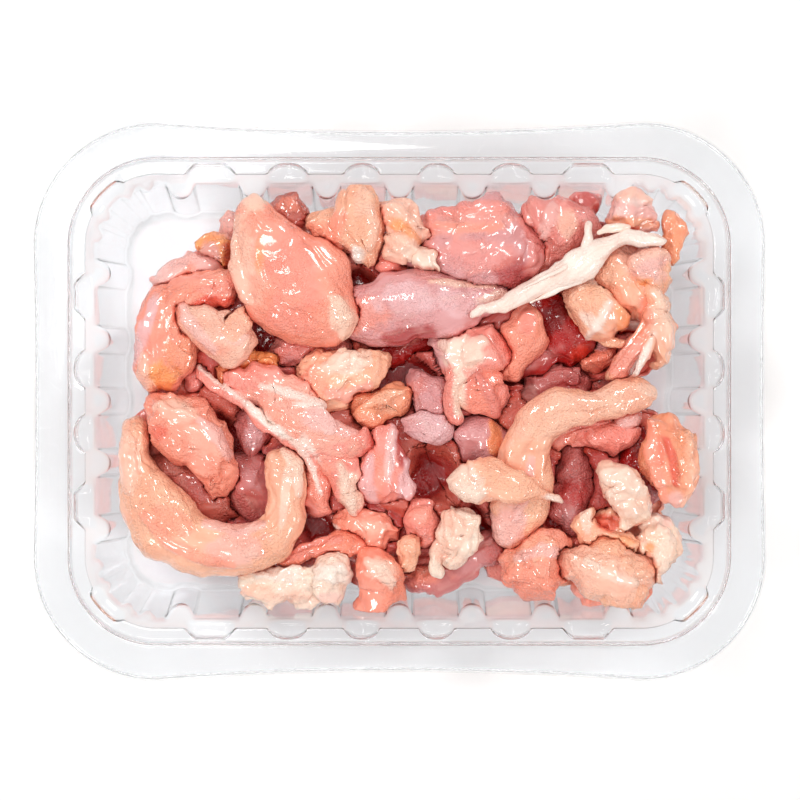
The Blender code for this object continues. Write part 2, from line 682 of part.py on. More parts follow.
def tray_mesh():
    """The thin sheet: up the inside from the floor to the skirt, and back down its hidden side."""
    base, normal, along, side = tray_path()
    radius, height = tray_profile(*tray_features(normal, along, side))
    under_radius, under_height = offset_profile(radius, height, SHEET)
    shown = ring_points(base, normal, radius, height)[::-1]
    hidden = ring_points(base, normal, under_radius, under_height)
    points, faces = closed_rings(np.concatenate([shown, hidden]))
    return points, split_shorter(points, faces)


def cavity_mesh():
    """The space inside the tray, a little smaller than it, and open above the ledge."""
    base, normal, along, side = tray_path()
    radius, height = tray_profile(*tray_features(normal, along, side))
    radius, height = offset_profile(radius, height, -WALL_GAP)
    radius, height = radius[4:], height[4:]
    radius = np.concatenate([radius[:1], radius])
    height = np.concatenate([np.full((1, radius.shape[1]), 2 * RIM_HEIGHT), height])
    return closed_rings(ring_points(base, normal, radius, height))


def curve_through(stations, places):
    """The Catmull-Rom curve through the stations, at places from 0 to 1 along its chords."""
    points = np.array(stations, float)
    chord = np.linalg.norm(np.diff(points[:, :3], axis=0), axis=1)
    knots = np.concatenate([[0.0], np.cumsum(chord)])
    slope = np.gradient(points, knots, axis=0)
    at = np.asarray(places) * knots[-1]
    i = np.clip(np.searchsorted(knots, at, side="right") - 1, 0, len(chord) - 1)
    step = chord[i][:, None]
    t = ((at - knots[i]) / chord[i])[:, None]
    value = (
        (2 * t**3 - 3 * t**2 + 1) * points[i]
        + (t**3 - 2 * t**2 + t) * step * slope[i]
        + (3 * t**2 - 2 * t**3) * points[i + 1]
        + (t**3 - t**2) * step * slope[i + 1]
    )
    return value, at, knots[-1]


def lobe_rings(stations, levels, around, seed):
    """Elliptic sections along a spine that close to a round tip at each end, with low lumps."""
    turns = (np.arange(levels) + FIRST_LEVEL) / (levels + LEVELS_BEYOND)
    places = (1 - np.cos(np.pi * turns)) / 2
    row, at, length = curve_through(stations, places)
    ahead = curve_through(stations, np.minimum(places + TURN_STEP, 1))[0][:, :2]
    behind = curve_through(stations, np.maximum(places - TURN_STEP, 0))[0][:, :2]
    heading = ahead - behind
    heading /= np.linalg.norm(heading, axis=1, keepdims=True)
    tips = (stations[0][3], stations[-1][3])
    from_tip = np.minimum(at / tips[0], (length - at) / tips[1])
    closing = np.sqrt(1 - (1 - np.clip(from_tip, TIP_LEAST, 1)) ** 2)
    angle = 2 * np.pi * np.arange(around) / around
    lump = 1 + LUMP * np.sin(3 * angle[None] + 0.35 * at[:, None] + seed)
    across = (row[:, 3] * closing)[:, None] * np.cos(angle)[None] * lump
    up = (row[:, 4] * closing)[:, None] * np.sin(angle)[None] * lump
    x = row[:, 0, None] + heading[:, 1, None] * across
    y = row[:, 1, None] - heading[:, 0, None] * across
    return np.stack([x, y, row[:, 2, None] + up], axis=2)


def fuller(spine):
    """The spine's stations, widened and thickened where they lie low."""
    rows = np.array(spine, float)
    low = smooth_step((HIGH_MIDDLE - rows[:, 2]) / (HIGH_MIDDLE - LOW_MIDDLE))
    rows[:, 3] *= WIDER_HIGH + (WIDER_LOW - WIDER_HIGH) * low
    rows[:, 4] *= 1 + (THICKER_LOW - 1) * low
    return rows


def lobe_mesh(stations, seed):
    """One lobe as a closed mesh, finer where it is long and wide."""
    levels = round(LEVELS_A_STATION * len(stations)) + 1
    around = SIDES_WIDE if stations[:, 3].max() >= WIDE else SIDES_SLIM
    rings = lobe_rings(stations, levels, around, seed)
    points, faces = closed_rings(rings)
    points[-2] = stations[0][:3]
    points[-1] = stations[-1][:3]
    return points, faces


def grown(points, faces, amount):
    """The same mesh with each point moved out along its normal."""
    corners = [[face[0], face[i], face[i + 1]] for face in faces for i in range(1, len(face) - 1)]
    corners = np.array(corners)
    a, b, c = (points[corners[:, i]] for i in range(3))
    facet = np.cross(b - a, c - a)
    normal = np.zeros_like(points)
    for i in range(3):
        np.add.at(normal, corners[:, i], facet)
    return points + amount * normal / np.linalg.norm(normal, axis=1, keepdims=True)


def new_object(name, points, faces, collection=None):
    """A mesh object from points in millimetres."""
    mesh = bpy.data.meshes.new(name)
    mesh.from_pydata((np.asarray(points) * MM).tolist(), [], faces)
    mesh.validate()
    obj = bpy.data.objects.new(name, mesh)
    (collection or bpy.context.scene.collection).objects.link(obj)
    return obj


def apply_boolean(target, helper, operation):
    """Applies one Boolean to the target's mesh."""
    modifier = target.modifiers.new("shape", "BOOLEAN")
    modifier.operation = operation
    modifier.solver = "MANIFOLD"
    modifier.object = helper
    bpy.context.view_layer.update()
    graph = bpy.context.evaluated_depsgraph_get()
    result = bpy.data.meshes.new_from_object(target.evaluated_get(graph))
    target.modifiers.clear()
    spent = target.data
    target.data = result
    bpy.data.meshes.remove(spent)


def remove(obj):
    """Takes a helper out of the scene."""
    bpy.data.objects.remove(obj)


def box_of(points):
    return points.min(axis=0), points.max(axis=0)


def boxes_meet(first, second):
    return bool(np.all(first[0] < second[1]) and np.all(second[0] < first[1]))


def keep_largest(obj):
    """Drops the loose scraps that a cut leaves, keeping the largest body."""
    mesh = obj.data
    count = len(mesh.vertices)
    group = np.arange(count)
    edges = np.array([edge.vertices[:] for edge in mesh.edges])
    changed = True
    while changed:
        low = np.minimum(group[edges[:, 0]], group[edges[:, 1]])
        fresh = group.copy()
        np.minimum.at(fresh, edges[:, 0], low)
        np.minimum.at(fresh, edges[:, 1], low)
        changed = bool((fresh != group).any())
        group = fresh
    points = np.array([vertex.co[:] for vertex in mesh.vertices])
    best = max(np.unique(group), key=lambda g: np.ptp(points[group == g], axis=0).prod())
    for scrap in np.unique(group):
        if scrap != best:
            low, high = box_of(points[group == scrap] / MM)
            print(f"{obj.name}: dropped a scrap at {np.round(low, 1)} to {np.round(high, 1)}")
    index = np.cumsum(group == best) - 1
    faces = [[int(index[v]) for v in face.vertices] for face in mesh.polygons
             if group[face.vertices[0]] == best]
    fresh = bpy.data.meshes.new(mesh.name)
    fresh.from_pydata(points[group == best].tolist(), [], faces)
    obj.data = fresh
    bpy.data.meshes.remove(mesh)


def bed_outline(meat):
    """Points round the heap, inset from the furthest meat in each direction and kept off the walls."""
    angle = 2 * np.pi * np.arange(BED_AROUND) / BED_AROUND
    square = np.abs(np.cos(angle)) ** BED_SQUARE + np.abs(np.sin(angle)) ** BED_SQUARE
    bend = square ** (-1 / BED_SQUARE)
    outline = np.stack([BED_X * bend * np.cos(angle), BED_Y * bend * np.sin(angle)], axis=1)
    room = np.linalg.norm(outline, axis=1)
    facing = outline / room[:, None]
    forward = meat[:, :2] @ facing.T
    sideways = np.abs(meat[:, :2] @ np.stack([-facing[:, 1], facing[:, 0]]))
    spacing = np.pi * (BED_X + BED_Y) / BED_AROUND
    reach = np.where(sideways < spacing / 2, forward, 0).max(axis=0) - BED_INSET
    return facing * np.minimum(room, reach)[:, None]


def bed_mesh(meat):
    """The meat under the pieces: rings whose heights stay below every lobe, on a flat foot."""
    outline = bed_outline(meat)
    plan = outline[None] * np.array(BED_SCALES)[:, None, None]
    reach = 1.1 * np.linalg.norm(outline - np.roll(outline, 1, axis=0), axis=1).max()
    top = np.full(plan.shape[:2], BED_TOP)
    for x, y, z in meat:
        near = np.hypot(plan[..., 0] - x, plan[..., 1] - y) < reach
        top[near] = np.minimum(top[near], z - BED_CLEARANCE)
    top[-1] = np.minimum(top[-1], BED_EDGE_TOP)
    rings = np.concatenate([plan, top[..., None]], axis=2)
    foot = np.column_stack([outline * BED_FOOT_SCALE, np.full(BED_AROUND, BED_FLOOR)])
    return closed_rings(np.concatenate([rings, foot[None]]))


def material(name, colour, roughness, alpha=1.0):
    """A plain finish with the sub-part's own colour."""
    finish = bpy.data.materials.new(name)
    finish.use_nodes = True
    shader = finish.node_tree.nodes["Principled BSDF"]
    shader.inputs["Base Color"].default_value = (*colour, 1.0)
    shader.inputs["Roughness"].default_value = roughness
    shader.inputs["Metallic"].default_value = 0.0
    shader.inputs["Alpha"].default_value = alpha
    finish.diffuse_color = (*colour, alpha)
    return finish


def finish_object(obj, finish, smooth_degrees):
    obj.data.materials.clear()
    obj.data.materials.append(finish)
    obj.data.shade_smooth()
    obj.data.set_sharp_from_angle(angle=np.radians(smooth_degrees))


def build_heap(parent):
    """The pieces from the top down, each cut clear of those above it and of the tray."""
    finishes = {name: material("meat_" + name, colour, MEAT_ROUGHNESS) for name, colour in COLOURS.items()}
    cavity = new_object("cavity", *cavity_mesh())
    above = []
    surface = []
    for name, (colour, spines) in HEAP.items():
        own = []
        piece = None
        for spine in map(fuller, spines):
            seed = SEED_STEP * len(surface)
            points, faces = lobe_mesh(spine, seed)
            surface.append(lobe_rings(spine, *BED_SAMPLES, seed).reshape(-1, 3))
            own.append((grown(points, faces, GAP), faces))
            lobe = new_object(name if piece is None else "lobe", points, faces)
            if piece is None:
                piece = lobe
            else:
                apply_boolean(piece, lobe, "UNION")
                remove(lobe)
        extent = box_of(np.array([vertex.co[:] for vertex in piece.data.vertices]) / MM)
        for points, faces in above:
            if boxes_meet(extent, box_of(points)):
                cutter = new_object("cutter", points, faces)
                apply_boolean(piece, cutter, "DIFFERENCE")
                remove(cutter)
        apply_boolean(piece, cavity, "INTERSECT")
        keep_largest(piece)
        finish_object(piece, finishes[colour], SMOOTH_MEAT_DEG)
        piece.parent = parent
        above += own
    remove(cavity)
    bed = new_object("meat_bed", *bed_mesh(np.concatenate(surface)))
    finish_object(bed, finishes["deep"], SMOOTH_MEAT_DEG)
    bed.parent = parent


def build_tray(parent):
    tray = new_object("tray", *tray_mesh())
    finish_object(tray, material("clear_plastic", *TRAY_FINISH), SMOOTH_TRAY_DEG)
    tray.parent = parent


def main():
    for obj in list(bpy.data.objects):
        bpy.data.objects.remove(obj)
    pack = bpy.data.objects.new("pack", None)
    bpy.context.scene.collection.objects.link(pack)
    build_tray(pack)
    build_heap(pack)


main()
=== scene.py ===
# %% [markdown]
# # A clear tray heaped with raw chicken leg meat
#
# The object is a thermoformed tray of water-clear plastic that holds about half a kilogram of boned
# chicken legs. This lesson dresses its imported solids: the tray is worked out again with fine grain
# and rounded bends, and every piece of meat becomes a wet, uneven surface with fibres, fat and folds.
# We start by loading the solids as a fixed frame.

import bpy
import numpy as np
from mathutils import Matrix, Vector


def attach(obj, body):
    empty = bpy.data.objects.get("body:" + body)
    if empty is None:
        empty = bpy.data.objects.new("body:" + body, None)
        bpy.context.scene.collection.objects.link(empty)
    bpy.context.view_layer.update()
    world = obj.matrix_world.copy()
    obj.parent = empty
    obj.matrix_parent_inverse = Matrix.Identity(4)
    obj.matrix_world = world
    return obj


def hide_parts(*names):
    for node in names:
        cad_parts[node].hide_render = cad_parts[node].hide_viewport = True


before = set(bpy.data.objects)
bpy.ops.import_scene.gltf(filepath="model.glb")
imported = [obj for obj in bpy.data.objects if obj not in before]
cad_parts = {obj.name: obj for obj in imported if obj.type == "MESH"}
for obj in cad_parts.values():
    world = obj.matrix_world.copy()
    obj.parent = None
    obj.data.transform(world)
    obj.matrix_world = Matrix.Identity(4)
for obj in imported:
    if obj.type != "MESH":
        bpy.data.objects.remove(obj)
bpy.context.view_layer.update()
MM = 0.001

# %% [markdown]
# ## The camera
#
# The picture looks straight down. From the way the walls lean inwards in it, the lens is almost a
# metre above the flange. A long lens at that height shows 249 mm across the flange's plane. The
# camera comes first because everything else is judged through it.

# %% Place the camera
FLANGE_HEIGHT = 50.0
CAMERA_ABOVE = 950.0
VIEW_WIDTH = 249.3
CAMERA_OFFSET = (0.23, 0.39)

lens_data = bpy.data.cameras.new("view_down")
lens_data.lens = lens_data.sensor_width * CAMERA_ABOVE / VIEW_WIDTH
lens_data.clip_end = 10.0
camera = bpy.data.objects.new("view_down", lens_data)
camera.location = (CAMERA_OFFSET[0] * MM, CAMERA_OFFSET[1] * MM, (FLANGE_HEIGHT + CAMERA_ABOVE) * MM)
bpy.context.scene.collection.objects.link(camera)
bpy.context.scene.camera = camera
bpy.context.scene.view_settings.view_transform = "Standard"
print("lens of", round(lens_data.lens, 1), "mm")

# %% [markdown]
# ## Three small tools
#
# Meat is never smooth, so every surface here needs noise that is the same on each run. We fill a
# table with seeded random numbers and blend them over a grid of cells. The second tool is the soft
# step that fades one thing into another. The third turns a block of points, ring by ring, into a
# closed mesh whose ends are sealed with a fan.

# %% Noise, soft steps and closed surfaces
NOISE_TABLE = np.random.default_rng(7).uniform(-1, 1, 4096)


def smooth_step(value):
    """0 below 0, 1 above 1, and an even S between them: 3t^2 - 2t^3."""
    value = np.clip(value, 0.0, 1.0)
    return value * value * (3.0 - 2.0 * value)


def noise(points, cell, seed=0):
    """Random numbers at the corners of cubes of this size, blended by the soft step: from -1 to 1."""
    places = np.asarray(points) / cell
    corner = np.floor(places).astype(np.int64)
    part = smooth_step(places - corner)
    total = np.zeros(places.shape[:-1])
    for step in np.ndindex(2, 2, 2):
        x, y, z = (corner[..., k] + step[k] for k in range(3))
        value = NOISE_TABLE[(x * 7919 + y * 104729 + z * 1299709 + seed * 613) % len(NOISE_TABLE)]
        weight = np.prod([part[..., k] if step[k] else 1 - part[..., k] for k in range(3)], axis=0)
        total += weight * value
    return total


def rough_noise(points, cell, seed=0, octaves=3):
    """Noise at a size, at half of it and so on, each with half the strength of the one before."""
    return sum(noise(points, cell / 2**k, seed + k) / 2**k for k in range(octaves))


def in_ellipse(points, x, y, half_length, half_width, turn):
    """The plan distance from an ellipse's middle as a share of its reach: 1 on its edge. Turn in degrees."""
    heading = np.radians(turn)
    dx, dy = points[..., 0] - x, points[..., 1] - y
    along = (dx * np.cos(heading) + dy * np.sin(heading)) / half_length
    across = (-dx * np.sin(heading) + dy * np.cos(heading)) / half_width
    return np.hypot(along, across)


def ring_faces(rings, around):
    """Quads between neighbouring rings, which turn anticlockwise seen from the first ring's side."""
    start = np.arange(rings - 1)[:, None] * around
    here = np.arange(around)[None]
    ahead = (here + 1) % around
    quads = np.stack([start + here, start + around + here, start + around + ahead, start + ahead], axis=-1)
    return quads.reshape(-1, 4)


def with_ends(grid):
    """The grid's values as a list, then the mean of its first and of its last ring."""
    return np.concatenate([grid.reshape(-1, grid.shape[2]), grid[:1].mean(axis=1), grid[-1:].mean(axis=1)])


def closed_surface(rings):
    """Points and faces of stacked rings, with a middle point and a fan of triangles at each end."""
    levels, around = rings.shape[:2]
    here = np.arange(around)
    ahead = (here + 1) % around
    start = np.full(around, levels * around)
    last = (levels - 1) * around
    first_fan = np.stack([start, here, ahead], axis=1)
    last_fan = np.stack([start + 1, last + ahead, last + here], axis=1)
    return with_ends(rings), ring_faces(levels, around), np.concatenate([first_fan, last_fan])


def new_piece(name, blocks, finish, colours=None, grain=None):
    """A mesh object in metres from closed surfaces in mm, with a colour and a grain place at each point."""
    points, faces, offset = [], [], 0
    for block, quads, fans in blocks:
        points.append(block)
        faces += (quads + offset).tolist() + (fans + offset).tolist()
        offset += len(block)
    mesh = bpy.data.meshes.new(name)
    mesh.from_pydata((np.concatenate(points) * MM).tolist(), [], faces)
    for label, values, kind in (("tone", colours, "color"), ("grain", grain, "vector")):
        if values is not None:
            store = mesh.attributes.new(label, "FLOAT_" + kind.upper(), "POINT")
            store.data.foreach_set(kind, np.concatenate(values).astype(np.float32).ravel())
    mesh.materials.append(finish)
    mesh.shade_smooth()
    piece = bpy.data.objects.new(name, mesh)
    bpy.context.scene.collection.objects.link(piece)
    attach(piece, "root")
    return piece


print("noise at the origin:", round(float(noise(np.zeros(3), 1.0)), 3))

# %% [markdown]
# ## The tray
#
# The tray is one thin sheet, drawn down over a mould. Every level of it is the same core rectangle,
# grown by a radius: large at the skirt, small at the floor. So the whole tray is a table of levels,
# each a radius and a height, and only three things change along the way round. The long sides pull
# in at the middle, pockets bite into the ledge, and ribs stand out from the wall under it. We walk
# round the rectangle in fine steps, work out the table at each step, and round off every bend.

# %% The tray's sizes
CORE_X, CORE_Y = 75.8, 48.5
SHEET = 0.8
RIM_RADIUS, RIM_HEIGHT = 39.1, 50.0
SKIRT_DROP, SKIRT_FLARE = 3.8, 1.0
WAIST_LONG, WAIST_SHORT = 2.9, 0.6
FLANGE_INNER = 27.0
LEDGE_OUTER, LEDGE_INNER, LEDGE_HEIGHT = 26.3, 22.4, 46.0
POCKET_REACH, POCKET_DROP = 3.1, 3.4
WALL_TOP, WALL_TOP_HEIGHT = 20.3, 42.2
RIB_REACH, RIB_HEIGHT, RIB_SHOULDER = 3.6, 38.2, 1.2
WALL_FOOT, WALL_FOOT_HEIGHT = 12.9, 6.0
FLOOR_RADIUS = 10.0
RIBS = ((0.0, 23.0, 46.0, 69.0), (0.0, 19.5, 40.4))
POCKETS = (((11.7, 4.9), (35.0, 5.6), (59.2, 6.4)), ((10.1, 5.2), (32.9, 5.7)))
RIB_HALF, RIB_AT_FOOT, MOON = 4.3, 0.3, 0.75
SLOPE = 3.4
LARGE_POCKET, ROUND_END = 5.65, 0.8
CORNER_RIBS, CORNER_RIB_HALF = (12.0, 31.0, 59.0, 78.0), 6.5
CORNER_POCKET, CORNER_POCKET_HALF, CORNER_SLOPE = 44.0, 16.0, 5.0
CRISP, SOFT = 0.55, 2.2
BENDS = (0.8, 0.8, CRISP, CRISP, CRISP, SOFT, SOFT, SOFT)


def round_bump(place, middle, half):
    """A half moon in plan: 1 - (distance / half)^2, to a power between 1/2, a half circle, and 1."""
    return np.clip(1 - ((place - middle) / half) ** 2, 0, 1) ** MOON


def sloped_bump(place, middle, half, slope):
    """1 within half of the middle, with straight slopes to 0 on both sides."""
    return np.clip((half - np.abs(place - middle)) / slope + 0.5, 0, 1)


def features(place, side, corner_angle):
    """How far a place is a rib and a pocket, from 0 to 1.

    The side is 0 along a long side, 1 along a short one, and 2 round a corner.
    """
    rib, pocket = np.zeros(place.shape), np.zeros(place.shape)
    for kind in (0, 1):
        for middle in RIBS[kind]:
            rib += (side == kind) * round_bump(place, middle, RIB_HALF)
        for middle, half in POCKETS[kind]:
            if half > LARGE_POCKET:
                shape = sloped_bump(place, middle, half, SLOPE)
            else:
                shape = round_bump(place, middle, half + ROUND_END)
            pocket += (side == kind) * shape
    for middle in CORNER_RIBS:
        rib += (side == 2) * 0.3 * round_bump(corner_angle, middle, CORNER_RIB_HALF)
    pocket += (side == 2) * 0.5 * sloped_bump(corner_angle, CORNER_POCKET, CORNER_POCKET_HALF, CORNER_SLOPE)
    return np.clip(rib, 0, 1), np.clip(pocket, 0, 1)


def levels_at(rib, pocket, waist):
    """The upper face's radius and height at each level, from the skirt's foot to the floor."""
    one = np.ones(rib.shape)
    ledge = LEDGE_INNER + POCKET_REACH * pocket
    table = (
        (RIM_RADIUS - waist, (RIM_HEIGHT - SKIRT_DROP) * one),
        (RIM_RADIUS - SKIRT_FLARE - waist, RIM_HEIGHT * one),
        (FLANGE_INNER * one, RIM_HEIGHT * one),
        (LEDGE_OUTER * one, LEDGE_HEIGHT * one),
        (ledge, LEDGE_HEIGHT * one),
        (ledge - 0.5, LEDGE_HEIGHT - 1.0 - POCKET_DROP * pocket),
        (WALL_TOP * one, WALL_TOP_HEIGHT + 0.8 * pocket),
        (WALL_TOP - RIB_SHOULDER - RIB_REACH * rib, RIB_HEIGHT * one),
        (WALL_FOOT - RIB_AT_FOOT * RIB_REACH * rib, WALL_FOOT_HEIGHT * one),
        (FLOOR_RADIUS * one, SHEET * one),
    )
    return np.array([row[0] for row in table]), np.array([row[1] for row in table])


print("levels in the table:", len(levels_at(np.zeros(1), np.zeros(1), np.zeros(1))[0]))

# %% Walk round the tray and round its bends
def walk_round(step):
    """Points of the core rectangle, their outward normals, and the rib, pocket and waist at each."""
    sides = []
    for turn, (half, depth) in enumerate(((CORE_X, CORE_Y), (CORE_Y, CORE_X)) * 2):
        along = np.linspace(-half, half, int(2 * half / step), endpoint=False)
        swing = np.radians(np.linspace(0, 90, int(np.pi / 2 * 22 / step), endpoint=False))
        x = np.concatenate([along, np.full(len(swing), half)])
        turned = np.concatenate([np.zeros(len(along)), swing])
        kind = np.concatenate([np.full(len(along), turn % 2), np.full(len(swing), 2)])
        y, heading = np.full(len(x), -depth), np.full(len(x), turn * np.pi / 2)
        sides.append(np.stack([x, y, turned, kind, heading], axis=1))
    x, y, turned, kind, heading = np.concatenate(sides).T
    cos, sin = np.cos(heading), np.sin(heading)
    base = np.stack([x * cos - y * sin, x * sin + y * cos], axis=1)
    facing = turned - np.pi / 2 + heading
    normal = np.stack([np.cos(facing), np.sin(facing)], axis=1)
    corner_angle = np.degrees(np.arctan2(np.abs(normal[:, 1]), np.abs(normal[:, 0])))
    rib, pocket = features(np.abs(x), kind, corner_angle)
    waist = np.where(kind == 0, WAIST_LONG * (1 - (x / CORE_X) ** 2), 0.0)
    waist = np.where(kind == 1, WAIST_SHORT * (1 - (x / CORE_Y) ** 2), waist)
    return base, normal, rib, pocket, waist


def round_bends(radius, height):
    """Each inner corner of the profile becomes five points of a parabola that runs from reach to reach."""
    reach = np.array(BENDS)[:, None]
    points = np.stack([radius, height])
    before, corner, after = points[:, :-2], points[:, 1:-1], points[:, 2:]
    back, ahead = before - corner, after - corner
    back_length, ahead_length = np.linalg.norm(back, axis=0), np.linalg.norm(ahead, axis=0)
    start = corner + back / back_length * np.minimum(reach, 0.42 * back_length)
    end = corner + ahead / ahead_length * np.minimum(reach, 0.42 * ahead_length)
    arcs = [(1 - t) ** 2 * start + 2 * t * (1 - t) * corner + t**2 * end for t in (0, 0.25, 0.5, 0.75, 1)]
    bends = np.stack(arcs, axis=2).reshape(2, -1, radius.shape[1])
    return np.concatenate([points[:, :1], bends, points[:, -1:]], axis=1)


def hidden_side(radius, height, amount):
    """The profile moved to its hidden side along the mean of the normals before and after each point."""
    run = np.concatenate([np.diff(radius, axis=0), -np.ones((1, radius.shape[1]))])
    rise = np.concatenate([np.diff(height, axis=0), np.zeros((1, radius.shape[1]))])
    length = np.hypot(run, rise)
    normal = np.stack([-rise / length, run / length])
    before = np.concatenate([normal[:, :1], normal[:, :-1]], axis=1)
    mitre = (normal + before) / (1.0 + (normal * before).sum(axis=0))
    return radius + amount * mitre[0], height + amount * mitre[1]


def stacked(base, normal, radius, height):
    """One ring of points for each level: the core point plus the normal times the radius."""
    plan = base[None] + normal[None] * radius[..., None]
    return np.concatenate([plan, height[..., None]], axis=2)


def tray_surface(step):
    """Up the inside from the floor to the skirt, and back down the hidden side of the sheet."""
    base, normal, rib, pocket, waist = walk_round(step)
    radius, height = levels_at(rib, pocket, waist)
    under_radius, under_height = hidden_side(radius, height, SHEET)
    shown = stacked(base, normal, *round_bends(radius, height))
    hidden = stacked(base, normal, *round_bends(under_radius, under_height))
    return closed_surface(np.concatenate([shown[::-1], hidden]))


TRAY_STEP = 0.75
tray_block = tray_surface(TRAY_STEP)
print("tray points:", len(tray_block[0]))

# %% [markdown]
# ## Finishes
#
# Raw meat is a wet, slightly see-through solid. In fat, a little subsurface scattering lets light in
# and out again; in lean meat the tones themselves carry that glow. A coat of moisture lies over both.
# It stands in small drops, so its highlights are broken into clusters of white specks. The colour of
# each point is stored on the mesh as an attribute called tone, and the direction of the muscle
# fibres as one called grain: along the piece first, then round it, both in millimetres. A shared
# group of nodes adds what is too fine for the mesh.

# %% A helper for nodes
def add(tree, kind, links=(), **settings):
    """A node with its settings, and its inputs given as {socket: value or output}."""
    node = tree.nodes.new(kind)
    for name, value in settings.items():
        setattr(node, name, value)
    for socket, value in dict(links).items():
        if isinstance(value, bpy.types.NodeSocket):
            tree.links.new(value, node.inputs[socket])
        else:
            node.inputs[socket].default_value = value
    return node


def new_group(name, inputs, outputs):
    """An empty node group with named inputs and outputs, as (tree, input node, output node)."""
    tree = bpy.data.node_groups.new(name, "ShaderNodeTree")
    for label, kind in inputs:
        tree.interface.new_socket(label, in_out="INPUT", socket_type=kind)
    for label, kind in outputs:
        tree.interface.new_socket(label, in_out="OUTPUT", socket_type=kind)
    return tree, tree.nodes.new("NodeGroupInput"), tree.nodes.new("NodeGroupOutput")


def mix_colours(tree, amount, first, second, blend="MIX"):
    """The second colour over the first by this amount."""
    node = add(tree, "ShaderNodeMix", {0: amount, 6: first, 7: second}, data_type="RGBA", blend_type=blend)
    return node.outputs[2]


def maths(tree, operation, *values):
    """One step of arithmetic on numbers or sockets."""
    return add(tree, "ShaderNodeMath", dict(enumerate(values)), operation=operation).outputs[0]


def spread(tree, value, low, high, to_low=0.0, to_high=1.0):
    """The value from low to high, stretched by the soft step to the other two numbers."""
    links = {"Value": value, "From Min": low, "From Max": high, "To Min": to_low, "To Max": to_high}
    return add(tree, "ShaderNodeMapRange", links, interpolation_type="SMOOTHSTEP").outputs[0]


print("helpers:", ", ".join(helper.__name__ for helper in (add, new_group, mix_colours, maths, spread)))

# %% The fine detail of wet flesh
FLOAT, COLOUR, VECTOR = "NodeSocketFloat", "NodeSocketColor", "NodeSocketVector"
DARKER, STREAK = (0.94, 0.76, 0.72, 1.0), (0.98, 0.74, 0.62, 1.0)
FIBRE_SHADE, VEIN = (0.95, 0.74, 0.68, 1.0), (0.55, 0.08, 0.07, 1.0)
flesh, flesh_in, flesh_out = new_group(
    "flesh_detail",
    (("Tone", COLOUR), ("Grain", VECTOR), ("Place", VECTOR), ("Fibres", FLOAT), ("Knobs", FLOAT),
     ("Marbling", FLOAT), ("Crinkles", FLOAT), ("Wetness", FLOAT)),
    (("Colour", COLOUR), ("Roughness", FLOAT), ("Coat", FLOAT), ("Height", FLOAT)),
)
given = flesh_in.outputs


def noise_node(tree, place, scale, detail):
    """The value of a noise texture of this scale at the place."""
    return add(tree, "ShaderNodeTexNoise", {"Vector": place, "Scale": scale, "Detail": detail}).outputs[0]


def drawn_grain(along, around):
    """The grain's place times these numbers, so that noise on it is drawn out along the fibres."""
    links = {0: given["Grain"], 1: (along, around, 1.0)}
    return add(flesh, "ShaderNodeVectorMath", links, operation="MULTIPLY").outputs[0]


fibre = noise_node(flesh, drawn_grain(0.16, 1.3), 1.0, 2.0)
bundle = noise_node(flesh, drawn_grain(0.07, 0.42), 1.0, 1.0)
mottle, knob, film, crinkle, where, vein = (
    noise_node(flesh, given["Place"], scale, detail)
    for scale, detail in ((130.0, 2.0), (620.0, 1.0), (240.0, 1.0), (1350.0, 1.0), (62.0, 1.0), (85.0, 2.0))
)
crinkled = spread(flesh, where, 0.36, 0.52)
vein_line = spread(flesh, maths(flesh, "ABSOLUTE", maths(flesh, "SUBTRACT", vein, 0.5)), 0.0, 0.012, 1.0, 0.0)

darker = mix_colours(flesh, 1.0, given["Tone"], DARKER, "MULTIPLY")
mottled = mix_colours(flesh, spread(flesh, mottle, 0.40, 0.70, 0.0, 0.6), given["Tone"], darker)
pale_streak = maths(flesh, "MULTIPLY", spread(flesh, bundle, 0.55, 0.75), given["Marbling"])
streaked = mix_colours(flesh, pale_streak, mottled, STREAK)
fibre_strength = maths(flesh, "MULTIPLY", given["Fibres"], 0.35)
fibre_shade = maths(flesh, "MULTIPLY", spread(flesh, fibre, 0.6, 0.35), fibre_strength)
shaded = mix_colours(flesh, 1.0, streaked, FIBRE_SHADE, "MULTIPLY")
fibred = mix_colours(flesh, fibre_shade, streaked, shaded)
veined = mix_colours(flesh, maths(flesh, "MULTIPLY", vein_line, 0.12), fibred, VEIN)

fibre_height = maths(flesh, "MULTIPLY", fibre, maths(flesh, "MULTIPLY", given["Fibres"], 0.6))
knob_height = maths(flesh, "MULTIPLY", knob, given["Knobs"])
crinkle_height = maths(flesh, "MULTIPLY", crinkle, maths(flesh, "MULTIPLY", crinkled, given["Crinkles"]))
coarse, fine = maths(flesh, "ADD", fibre_height, knob_height), maths(flesh, "ADD", crinkle_height, film)
even = maths(flesh, "SUBTRACT", 1.0, crinkled)
droplets = maths(flesh, "MAXIMUM", spread(flesh, crinkle, 0.49, 0.55), even)
for label, value in (
    ("Colour", veined),
    ("Roughness", spread(flesh, film, 0.35, 0.65, 0.20, 0.45)),
    ("Coat", maths(flesh, "MULTIPLY", droplets, given["Wetness"])),
    ("Height", maths(flesh, "ADD", coarse, fine)),
):
    flesh.links.new(value, flesh_out.inputs[label])
print("nodes in the flesh group:", len(flesh.nodes))

# %% Meat materials
LEAN_REACH, FAT_REACH = (1.0, 0.62, 0.5), (1.0, 0.85, 0.78)


def new_material(name, constants):
    """A material with its shader's constants set, as (material, node tree, shader)."""
    finish = bpy.data.materials.new(name)
    finish.use_nodes = True
    shader = finish.node_tree.nodes["Principled BSDF"]
    for socket, value in constants.items():
        shader.inputs[socket].default_value = value
    return finish, finish.node_tree, shader


